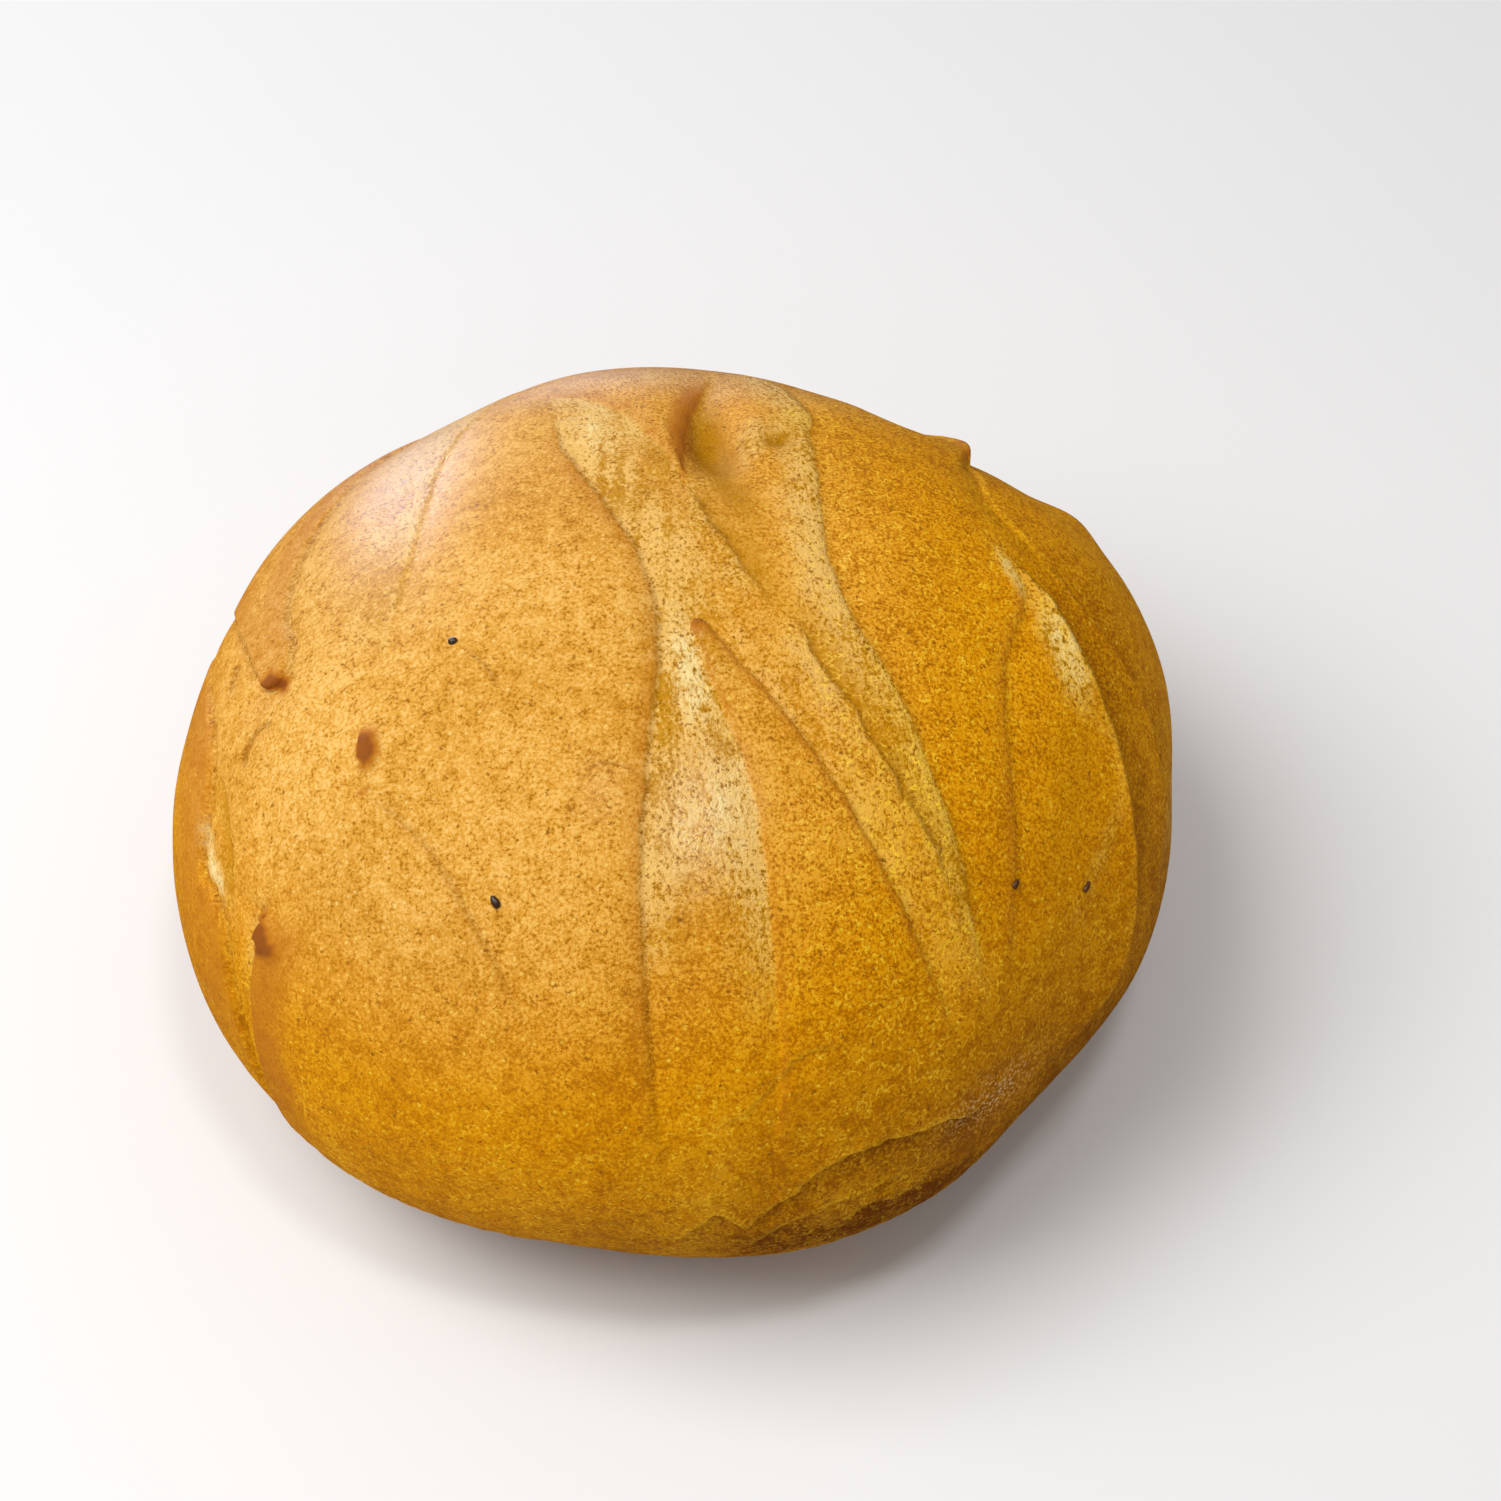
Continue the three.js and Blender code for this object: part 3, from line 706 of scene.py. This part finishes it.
# Fine relief: uneven dough, wrinkles and crumpled skin low on the front, and rough torn crumb.
DOUGH = Waves(14, 0.22, 31)
WRINKLES = Waves(4.5, 0.22, 32)
WRINKLES_FROM = (45, 80)  # degrees in front of the crown
CRUMPLES = Waves(3.4, 0.5, 38)
CRUMPLED = Spot((30, -82), 28, 12, 35, 1)
TORN_CRUMB = Waves(1.3, 0.8, 37)

# Lighter and darker parts of the crust.
BROAD_TONE = Waves(22, 0.26, 33)
BLOTCHES = Waves(3.5, 0.2, 34)
LOBE_SHADING = Waves(9, 0.35, 40)  # painted light and shade of soft upright ridges low on the front
LOBE_LENGTH = 5
STREAKS = Waves(1.7, 0.35, 39)  # along the torn floors
STREAK_LENGTH = 8
GRAIN_STRAY = Waves(3, 0.5, 35)
GRAIN_TURN = 15  # degrees from the front to the right

# Raised lines in the skin: full to the right of the crown, and a share of that elsewhere.
LINES_FROM = (8, 28)  # degrees to the right of the crown
LINES_TO = (62, 42)
LINES_LOW = 0.65
LINES_CROWN = 0.25
COARSE_FROM = (80, 50)  # degrees from the crown
# Painted light on the left and the top, where the key light falls, and a deeper gold on the right and the
# front; painted shade on the lower right rim, which near the underside is also the base's browner bake.
PAINTED_LIGHT_WAY = (-0.60, -0.06, 0.79)
PAINTED_LIGHT_FROM = (0.45, 1.0)
PAINTED_LIGHT_DOWN_TO = (82, 56)  # degrees from the crown
RIM_SHADE_WAY = (0.45, -0.45, -0.77)
RIM_SHADE_FROM = (0.15, 0.85)
UNDERSIDE_FROM = (97, 114)  # degrees from the crown


def turned(arc, degrees):
    """How far back and how far right places are, for someone who looks to the right of the front."""
    turn = np.radians(degrees)
    back = arc[:, 1] * np.cos(turn) - arc[:, 0] * np.sin(turn)
    right = arc[:, 0] * np.cos(turn) + arc[:, 1] * np.sin(turn)
    return back, right


def raised_points(crust, directions, wrinkled):
    """The crust's points, moved to stand in the middle of the floor, and how far they were moved."""
    points = crust.points
    height = crust.height + DOUGH.at(points) + wrinkled * WRINKLES.ridges(points)
    height += within(CRUMPLED, points) * CRUMPLES.ridges(points)
    height += crust.crumb**2 * TORN_CRUMB.at(points)
    raised = points + directions * height[:, None] + crust.shift
    raised[:, 2] = np.maximum(raised[:, 2], -WIDEST_LEVEL) + WIDEST_LEVEL
    middle = (raised.min(axis=0) + raised.max(axis=0)) / 2
    raised[:, :2] -= middle[:2]
    return raised, middle


def skin_values(crust, directions, places):
    """Where the skin has painted light, painted shade with the base's browner bake, coarse grain and
    raised lines.
    """
    polar = np.degrees(np.arccos(directions[:, 2]))
    outward = unit(crust.points / np.array([HALF_WIDTH, HALF_DEPTH, CROWN_RISE]) ** 2)
    pale_and_lit = smoothstep(outward @ PAINTED_LIGHT_WAY, *PAINTED_LIGHT_FROM) * smoothstep(polar, *PAINTED_LIGHT_DOWN_TO)
    rim_shade_and_base_brown = np.maximum(smoothstep(directions @ RIM_SHADE_WAY, *RIM_SHADE_FROM), smoothstep(polar, *UNDERSIDE_FROM))
    coarse = smoothstep(polar, *COARSE_FROM)
    lines = smoothstep(places[:, 0], *LINES_FROM) * smoothstep(places[:, 0], *LINES_TO)
    return {
        "pale_and_lit": np.maximum(pale_and_lit, crust.pale_and_lit),
        "shade_and_base_brown": np.maximum(crust.shade_and_base_brown, rim_shade_and_base_brown),
        "coarse": coarse,
        "lines": np.maximum(lines, lerp(LINES_LOW, LINES_CROWN, coarse)),
    }


def grain_values(crust, places, wrinkled):
    """Where the grain of the torn floors runs, and how light the crust is, with painted light and shade on
    the lobes low on the front.
    """
    points = crust.points
    arc = places * CROWN_RISE * math.radians(1)
    arc[:, 0] += GRAIN_STRAY.at(points)
    level = np.zeros(len(points))
    along, beside = turned(arc, crust.grain)
    streaks = STREAKS.at(np.column_stack([along / STREAK_LENGTH, beside, level]))
    lobe_shading = LOBE_SHADING.at(np.column_stack([arc[:, 0], arc[:, 1] / LOBE_LENGTH, level]))
    tone = BROAD_TONE.at(points) + BLOTCHES.at(points) + wrinkled * lobe_shading + crust.floor * streaks
    along, beside = turned(arc, GRAIN_TURN)
    return {"grain_along": along, "grain_across": beside, "tone": tone}


def make_loaf(material):
    """The loaf, and how far the middle of its box was moved."""
    rows = edge_rows()
    points = np.vstack([rows, fill_points(rows), [[0, 0, -WIDEST_LEVEL]]])
    directions = unit(points)
    places = place_of(directions)
    wrinkled = smoothstep(-places[:, 1], *WRINKLES_FROM)
    crust = Crust(points)
    raised, middle = raised_points(crust, directions, wrinkled)
    piece = make_object("loaf_crust", raised, triangles_between(directions), material)
    values = {
        "floor": crust.floor,
        "brown": crust.brown,
        "crumb": crust.crumb,
        "flour": crust.flour,
        "olive_shade": crust.olive_shade,
        "gloss": crust.gloss,
        "crest_highlight": crust.crest_highlight,
        **skin_values(crust, directions, places),
        **grain_values(crust, places, wrinkled),
    }
    for name, value in values.items():
        set_attribute(piece, name, value)
    return piece, middle


class Nodes:
    """Short calls for the nodes of one procedural material. Sizes are in millimetres."""

    def __init__(self, name):
        self.material = bpy.data.materials.new(name)
        self.material.use_nodes = True
        self.tree = self.material.node_tree
        self.surface = self.tree.nodes["Principled BSDF"]
        scaled = self.tree.nodes.new("ShaderNodeVectorMath")
        scaled.operation = "SCALE"
        self.feed(scaled.inputs[0], self.tree.nodes.new("ShaderNodeTexCoord").outputs["Object"])
        self.feed(scaled.inputs["Scale"], 1 / MM)
        self.spot = scaled.outputs[0]

    def feed(self, socket, value):
        if isinstance(value, bpy.types.NodeSocket):
            self.tree.links.new(value, socket)
        else:
            socket.default_value = value

    def set(self, name, value):
        self.feed(self.surface.inputs[name], value)

    def math(self, operation, first, second=0.0):
        node = self.tree.nodes.new("ShaderNodeMath")
        node.operation = operation
        self.feed(node.inputs[0], first)
        self.feed(node.inputs[1], second)
        return node.outputs[0]

    def add(self, *values):
        total = values[0]
        for value in values[1:]:
            total = self.math("ADD", total, value)
        return total

    def times(self, *values):
        total = values[0]
        for value in values[1:]:
            total = self.math("MULTIPLY", total, value)
        return total

    def most(self, first, second):
        return self.math("MAXIMUM", first, second)

    def swing(self, pattern):
        """A pattern moved so that it swings around 0."""
        return self.math("SUBTRACT", pattern, 0.5)

    def step(self, value, low, high, start=0.0, end=1.0):
        """Goes smoothly from start to end while the value goes from low to high."""
        node = self.tree.nodes.new("ShaderNodeMapRange")
        node.interpolation_type = "SMOOTHSTEP"
        numbers = {"Value": value, "From Min": low, "From Max": high, "To Min": start, "To Max": end}
        for name, number in numbers.items():
            self.feed(node.inputs[name], number)
        return node.outputs[0]

    def mix(self, share, first, second):
        node = self.tree.nodes.new("ShaderNodeMix")
        node.data_type = "RGBA"
        self.feed(node.inputs[0], share)
        self.feed(node.inputs[6], first)  # 6, 7 and 2 are its sockets for colours
        self.feed(node.inputs[7], second)
        return node.outputs[2]

    def attribute(self, name):
        node = self.tree.nodes.new("ShaderNodeAttribute")
        node.attribute_name = name
        return node.outputs["Fac"]

    def combine(self, x, y, z=0.0):
        node = self.tree.nodes.new("ShaderNodeCombineXYZ")
        for socket, value in zip(node.inputs, (x, y, z)):
            self.feed(socket, value)
        return node.outputs[0]

    def noise(self, size, detail=2.0, roughness=0.55, spot=None):
        """Noise around 0.5 with bumps of the given size."""
        node = self.tree.nodes.new("ShaderNodeTexNoise")
        self.feed(node.inputs["Vector"], spot or self.spot)
        self.feed(node.inputs["Scale"], 1 / size)
        self.feed(node.inputs["Detail"], detail)
        self.feed(node.inputs["Roughness"], roughness)
        return node.outputs["Fac"]

    def cells(self, size):
        """Distance from the middles of random cells, and a random number for each cell."""
        cell = self.tree.nodes.new("ShaderNodeTexVoronoi")
        self.feed(cell.inputs["Vector"], self.spot)
        self.feed(cell.inputs["Scale"], 1 / size)
        colour = self.tree.nodes.new("ShaderNodeSeparateColor")
        self.feed(colour.inputs[0], cell.outputs["Color"])
        return cell.outputs["Distance"], colour.outputs["Red"]

    def bump(self, height):
        """Normals for a height in millimetres."""
        node = self.tree.nodes.new("ShaderNodeBump")
        node.inputs["Strength"].default_value = 1.0
        node.inputs["Distance"].default_value = MM
        self.feed(node.inputs["Height"], height)
        self.set("Normal", node.outputs[0])


# Skin in its pits, in between and on its bumps: baked to a deep gold, and the same with painted light
# where the key light falls.
GOLD = ((0.47, 0.165, 0.001, 1), (0.62, 0.238, 0.001, 1), (0.74, 0.330, 0.004, 1))
LIT_GOLD = ((0.52, 0.228, 0.020, 1), (0.65, 0.325, 0.048, 1), (0.78, 0.465, 0.130, 1))
GOLD_FLECK = (0.93, 0.60, 0.03, 1)
# flecks where the painted light falls
LIT_FLECK = (0.86, 0.58, 0.20, 1)
# painted shade, also the base's browner bake near the underside
SHADE_AND_BASE_COLOUR = (0.16, 0.042, 0.001, 1)
PIT = (0.30, 0.110, 0.003, 1)
BRAN = (0.22, 0.085, 0.008, 1)
BROWN = (0.46, 0.150, 0.010, 1)
BROWN_DEEP = (0.23, 0.060, 0.012, 1)
# painted shade in the hollows and valleys
OLIVE_SHADE = (0.43, 0.185, 0.001, 1)
# torn floor where the painted light falls
FLOOR_PAINTED_LIGHT = (0.76, 0.45, 0.115, 1)
FLOOR_LIT = (0.82, 0.48, 0.060, 1)
FLOOR_GOLD = (0.50, 0.225, 0.006, 1)
PORE = (0.23, 0.105, 0.003, 1)
CRUMB = (0.93, 0.77, 0.36, 1)
FLOUR = (0.78, 0.56, 0.29, 1)

# Patterns of the crust: size, detail and roughness.
GRAIN = (0.58, 2.0, 0.7)
WEB = (2.4, 1.0, 0.6)
FIBRE = (0.8, 2.0, 0.7)
FIBRE_STRETCH = 0.65  # along the grain
CELL_SIZE = 1.6
WEAVE_FIBRE = 0.6  # shares of fibre and grain in the torn floors
WEAVE_GRAIN = 0.4

# Ramps: the value where a mark begins and where it is full, then its share there unless 0 and 1.
WHOLE = (0.0, 1.0)
LOW_TONES = (0.0, 0.5)
HIGH_TONES = (0.5, 1.0)
GRAIN_IN_TONE = (*WHOLE, 2.2, 4.0)  # low on the loaf, at the crown
GRAIN_BY_PAINTED_LIGHT = (*WHOLE, 1.3, 0.66)
WEB_IN_TONE = 1.1
MEAN_TONE = 0.5
PITS = (0.58, 0.48)
PITS_WEB = 0.35
PITS_SHARE = (*WHOLE, 0.12, 0.72)  # low on the loaf, at the crown
SPECKS = (0.82, 0.66)
SPECKS_GRAIN = 1.2
BRAN_LOTS = (0.30, 0.29)  # random numbers of the cells with a speck of bran
BRAN_SHARE = 0.65
FLECK_LOTS = (0.62, 0.63)
FLECKS_BY_OLIVE_SHADE = (*WHOLE, 0.7, 0.1)
LINES = (0.034, 0.006)  # how near the web is to its mean
LINE_GAPS = (0.42, 0.56)
LINES_BY_DRIFT = (-0.2, 0.25, 0.3, 0.85)
CREST_HIGHLIGHT_GAPS = (0.4, 0.6, 0.4, 1.0)
RAISED_BY_SHADE = (0.1, 0.8, 1.0, 0.35)
SHADE_BY_TONE = (0.2, 1.0, 0.9, 0.55)
OLIVE_SHADE_BY_FIBRE = (0.4, 0.7, 1.0, 0.65)
OPEN_FLOOR = (0.05, 0.75)
OPEN_DRIFT = 0.5
FLOOR_CONTRAST = (0.2, 0.8, 1.7, 1.0)  # less where the painted light falls
FLOOR_LIGHT = (-0.12, 0.12)
FLOOR_DRIFT = 0.6
FLOOR_CRUMB = 0.2
FLOOR_BY_PAINTED_LIGHT = (0.0, 0.3)
PORES = (0.45, 0.34)
PORES_BY_CRUMB = (*WHOLE, 0.8, 0.75)
BARE_CRUMB = (0.45, 0.7)
BARE_MORE = 0.25
BROWN_BY_DRIFT = (-0.3, 0.3, 1.1, 0.8)
BROWNED = (0.02, 0.75)
BROWNED_SHARE = 0.9
BROWNED_DEEP = (0.6, 1.1)
BROWNED_DEEP_SHARE = 0.8
DUSTED = (0.54, 0.62)
DUSTED_SHARE = 0.85

# Shine and bumps of the crust.
ROUGHNESS = 0.52
ROUGHNESS_GRAIN = 0.1
ROUGHNESS_GLOSS = -0.25
SPECULAR = 0.02
SPECULAR_GLOSS = 0.5
BUMP_SKIN = (*WHOLE, 0.16, 0.24)  # low on the loaf, at the crown
BUMP_FLOOR = 0.16
BUMP_CRUMB = 0.2


class CrustNodes(Nodes):
    """The baked crust, with the patterns and painted values that its layers share."""

    def __init__(self):
        super().__init__("baked_crust")
        self.crumb = self.attribute("crumb")
        self.drift = self.attribute("tone")
        self.pale_and_lit = self.attribute("pale_and_lit")
        self.shade_and_base_brown = self.attribute("shade_and_base_brown")
        self.olive_shade = self.attribute("olive_shade")
        self.coarse = self.attribute("coarse")
        self.gloss = self.attribute("gloss")
        self.grain = self.noise(*GRAIN)
        self.web = self.noise(*WEB)
        stretched = self.times(self.attribute("grain_along"), FIBRE_STRETCH)
        self.fibre = self.noise(*FIBRE, self.combine(stretched, self.attribute("grain_across")))
        distance, self.lot = self.cells(CELL_SIZE)
        self.speck = self.step(self.add(distance, self.times(self.grain, SPECKS_GRAIN)), *SPECKS)
        self.tone = self.add(
            self.times(
                self.swing(self.grain),
                self.step(self.coarse, *GRAIN_IN_TONE),
                self.step(self.pale_and_lit, *GRAIN_BY_PAINTED_LIGHT),
            ),
            self.times(self.swing(self.web), WEB_IN_TONE),
            self.add(self.drift, MEAN_TONE),
        )
        drifting = self.times(self.drift, OPEN_DRIFT)
        self.open_floor = self.step(self.add(self.attribute("floor"), drifting), *OPEN_FLOOR)

    def skin(self):
        # deep gold, and lit gold where the painted light falls
        low, middle, high = (self.mix(self.pale_and_lit, deep, light) for deep, light in zip(GOLD, LIT_GOLD))
        skin = self.mix(self.step(self.tone, *LOW_TONES), low, middle)
        return self.mix(self.step(self.tone, *HIGH_TONES), skin, high)

    def torn_floor(self):
        """The open slashes: lit and unlit fibres, paler where the painted light falls, bare crumb and
        pores.
        """
        weave = self.add(self.times(self.fibre, WEAVE_FIBRE), self.times(self.grain, WEAVE_GRAIN))
        woven = self.times(self.swing(weave), self.step(self.pale_and_lit, *FLOOR_CONTRAST))
        light = self.add(woven, self.times(self.drift, FLOOR_DRIFT), self.times(self.crumb, FLOOR_CRUMB))
        bright = self.mix(self.step(self.pale_and_lit, *FLOOR_BY_PAINTED_LIGHT), FLOOR_LIT, FLOOR_PAINTED_LIGHT)
        torn = self.mix(self.step(light, *FLOOR_LIGHT), FLOOR_GOLD, bright)
        bare = self.step(self.add(self.fibre, self.times(self.crumb, BARE_MORE)), *BARE_CRUMB)
        torn = self.mix(self.times(self.crumb, bare), torn, CRUMB)
        pore = self.times(self.step(weave, *PORES), self.step(self.crumb, *PORES_BY_CRUMB))
        return self.mix(pore, torn, PORE)

    def shaded(self, colour):
        """Adds the painted shade in greenish gold, pits, specks of bran, and darker painted shade."""
        green_shade = self.times(self.olive_shade, self.step(self.fibre, *OLIVE_SHADE_BY_FIBRE))
        colour = self.mix(green_shade, colour, OLIVE_SHADE)
        pit = self.step(self.add(self.grain, self.times(self.web, PITS_WEB)), *PITS)
        colour = self.mix(self.times(pit, self.step(self.coarse, *PITS_SHARE)), colour, PIT)
        bran = self.times(self.speck, self.step(self.lot, *BRAN_LOTS))
        colour = self.mix(self.times(bran, BRAN_SHARE), colour, BRAN)
        return self.mix(self.times(self.shade_and_base_brown, self.step(self.tone, *SHADE_BY_TONE)), colour, SHADE_AND_BASE_COLOUR)

    def raised(self, colour):
        """Adds the thin raised lines, the pale flecks and the painted highlights on the crests of torn
        edges.
        """
        line = self.step(self.math("ABSOLUTE", self.swing(self.web)), *LINES)
        line = self.times(line, self.step(self.grain, *LINE_GAPS))
        line = self.times(line, self.attribute("lines"), self.step(self.drift, *LINES_BY_DRIFT))
        fleck = self.times(self.speck, self.step(self.lot, *FLECK_LOTS))
        fleck = self.times(fleck, self.step(self.olive_shade, *FLECKS_BY_OLIVE_SHADE))
        marks = self.times(self.most(line, fleck), self.step(self.shade_and_base_brown, *RAISED_BY_SHADE))
        crest_highlight = self.times(self.attribute("crest_highlight"), self.step(self.grain, *CREST_HIGHLIGHT_GAPS))
        return self.mix(self.most(crest_highlight, marks), colour, self.mix(self.pale_and_lit, GOLD_FLECK, LIT_FLECK))

    def browned(self, colour):
        """Adds the browned lips and tips, and the flour."""
        brown = self.times(self.attribute("brown"), self.step(self.drift, *BROWN_BY_DRIFT))
        colour = self.mix(self.times(self.step(brown, *BROWNED), BROWNED_SHARE), colour, BROWN)
        deep = self.times(self.step(brown, *BROWNED_DEEP), BROWNED_DEEP_SHARE)
        colour = self.mix(deep, colour, BROWN_DEEP)
        dusted = self.times(self.attribute("flour"), self.step(self.grain, *DUSTED))
        return self.mix(self.times(dusted, DUSTED_SHARE), colour, FLOUR)


def crust_material():
    nodes = CrustNodes()
    colour = nodes.mix(nodes.most(nodes.open_floor, nodes.crumb), nodes.skin(), nodes.torn_floor())
    nodes.set("Base Color", nodes.browned(nodes.raised(nodes.shaded(colour))))
    rough = nodes.add(ROUGHNESS, nodes.times(nodes.grain, ROUGHNESS_GRAIN))
    nodes.set("Roughness", nodes.add(rough, nodes.times(nodes.gloss, ROUGHNESS_GLOSS)))
    nodes.set("Specular IOR Level", nodes.add(SPECULAR, nodes.times(nodes.gloss, SPECULAR_GLOSS)))
    height = nodes.add(
        nodes.step(nodes.coarse, *BUMP_SKIN),
        nodes.times(nodes.open_floor, BUMP_FLOOR),
        nodes.times(nodes.crumb, BUMP_CRUMB),
    )
    nodes.bump(nodes.times(nodes.grain, height))
    return nodes.material


# Stray seeds: colours of black and of brown ones, and how brown each is.
SEED_BLACK = ((0.012, 0.007, 0.005, 1), (0.060, 0.030, 0.018, 1))
SEED_BROWN = ((0.050, 0.016, 0.004, 1), (0.150, 0.055, 0.012, 1))
SEED_BROWNNESS = (0, 0.2, 0.8, 1)
SEED_MOTTLE = 0.4
SEED_ROUGHNESS = 0.25
SEED_ROUGHNESS_MOTTLE = 0.25
SEED_BUMP = 0.05
SEED_RINGS = 9
SEED_SIDES = 14
SEED_LIFT = 0.35  # of half its thickness, from the crust up to the seed's middle
SEED_TAPER = 0.25


def seed_material():
    nodes = Nodes("dark_seed")
    mottle = nodes.noise(SEED_MOTTLE)
    black = nodes.mix(mottle, *SEED_BLACK)
    brown = nodes.mix(mottle, *SEED_BROWN)
    nodes.set("Base Color", nodes.mix(nodes.attribute("brown"), black, brown))
    nodes.set("Roughness", nodes.add(SEED_ROUGHNESS, nodes.times(mottle, SEED_ROUGHNESS_MOTTLE)))
    nodes.bump(nodes.times(mottle, SEED_BUMP))
    return nodes.material


def seed_rings(seed):
    """A seed's points ring by ring, half sunk in the crust, from its pointed to its blunt end."""
    start, long, wide = spot_frame(seed)
    out = unit(start)
    middle = start + out * (Crust(start[None]).height[0] + seed.amount * SEED_LIFT)
    points = []
    for ring in range(SEED_RINGS):
        turn = math.pi * ring / (SEED_RINGS - 1)
        girth = math.sin(turn) * (1 - SEED_TAPER * math.cos(turn))
        for side in range(SEED_SIDES):
            angle = 2 * math.pi * side / SEED_SIDES
            point = middle + long * (seed.long * math.cos(turn))
            point = point + wide * (seed.wide * girth * math.cos(angle))
            points.append(point + out * (seed.amount * girth * math.sin(angle)))
    return points


def make_seeds(material, middle):
    points = []
    faces = []
    for seed in SEEDS:
        base = len(points)
        points += seed_rings(seed)
        for ring in range(SEED_RINGS - 1):
            low = base + ring * SEED_SIDES
            high = low + SEED_SIDES
            for side in range(SEED_SIDES):
                beside = (side + 1) % SEED_SIDES
                faces.append((low + side, high + side, high + beside, low + beside))
    points = np.array(points) + [-middle[0], -middle[1], WIDEST_LEVEL]
    piece = make_object("stray_seeds", points, faces, material)
    set_attribute(piece, "brown", np.repeat(SEED_BROWNNESS, SEED_RINGS * SEED_SIDES))
    return piece


# The photo's view: how far above the horizon, how far away, and what is in the middle of the frame.
VIEW_HEIGHT = 52
VIEW_DISTANCE = 520
VIEW_OFFSET = (13.9, 9.7)
PIXELS_PER_MM = 5.499
FRAME_PIXELS = 1501
SENSOR = 36


def make_camera(middle):
    height = math.radians(VIEW_HEIGHT)
    back = Vector((0, -math.cos(height), math.sin(height)))
    right = Vector((1, 0, 0))
    up = back.cross(right)
    aim = Vector((-middle[0], -middle[1], WIDEST_LEVEL)) + right * VIEW_OFFSET[0] + up * VIEW_OFFSET[1]
    lens = bpy.data.cameras.new("camera")
    lens.sensor_width = SENSOR
    lens.lens = PIXELS_PER_MM * VIEW_DISTANCE * SENSOR / FRAME_PIXELS
    camera = bpy.data.objects.new("camera", lens)
    turn = Matrix((right, up, back)).transposed().to_4x4()
    camera.matrix_world = Matrix.Translation((aim + back * VIEW_DISTANCE) * MM) @ turn
    bpy.context.scene.collection.objects.link(camera)
    bpy.context.scene.camera = camera


# The studio: a pale floor with faint clouds, and the light from all round.
GROUND_HALF = 3000
GROUND_TINTS = ((0.78, 0.78, 0.79, 1), (0.82, 0.82, 0.82, 1))
GROUND_CLOUDS = 300
GROUND_ROUGHNESS = 0.8
GROUND_SPECULAR = 0.1
SURROUND_COLOUR = (1.0, 0.98, 0.96, 1)
SURROUND_STRENGTH = 0.4
WHITE = (1, 1, 1)
COOL_WHITE = (0.74, 0.77, 1.0)


def floor_material():
    nodes = Nodes("pale_floor")
    nodes.set("Base Color", nodes.mix(nodes.noise(GROUND_CLOUDS), *GROUND_TINTS))
    nodes.set("Roughness", GROUND_ROUGHNESS)
    nodes.set("Specular IOR Level", GROUND_SPECULAR)
    return nodes.material


def make_light(name, place, width, height, power, colour=WHITE):
    """An area light that points at the loaf, with its place and size in metres."""
    light = bpy.data.lights.new(name, "AREA")
    light.shape = "RECTANGLE"
    light.size = width
    light.size_y = height
    light.energy = power
    light.color = colour
    lamp = bpy.data.objects.new(name, light)
    lamp.location = place
    aim = Vector((0, 0, WIDEST_LEVEL * MM))
    lamp.rotation_euler = (aim - lamp.location).to_track_quat("-Z", "Y").to_euler()
    bpy.context.scene.collection.objects.link(lamp)
    return lamp


def make_surround():
    """Even light from all round, which doesn't show as sheen on the crust."""
    world = bpy.data.worlds.new("studio")
    bpy.context.scene.world = world
    world.use_nodes = True
    surround = world.node_tree.nodes["Background"]
    surround.inputs["Color"].default_value = SURROUND_COLOUR
    surround.inputs["Strength"].default_value = SURROUND_STRENGTH
    world.cycles_visibility.glossy = False


def make_studio():
    bpy.context.scene.view_settings.view_transform = "Standard"
    make_surround()
    make_light("key", place=(-0.60, -0.08, 1.0), width=0.8, height=0.8, power=11.2)
    make_light("overhead", place=(0.15, -0.20, 1.2), width=0.16, height=0.16, power=2.3)
    # a card behind the loaf that only shows as sheen
    window = make_light(
        "window", place=(-0.55, 1.10, 0.20), width=0.9, height=0.45, power=21, colour=COOL_WHITE
    )
    window.visible_diffuse = False
    corners = [(x * GROUND_HALF, y * GROUND_HALF, 0) for x, y in ((-1, -1), (1, -1), (1, 1), (-1, 1))]
    floor = make_object("floor", corners, [(0, 1, 2, 3)], floor_material())
    floor.visible_glossy = False  # no sheen from the floor either


loaf, box_middle = make_loaf(crust_material())
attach(loaf, "root")
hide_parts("loaf")
seeds = make_seeds(seed_material(), box_middle)
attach(seeds, "root")
make_camera(box_middle)
make_studio()
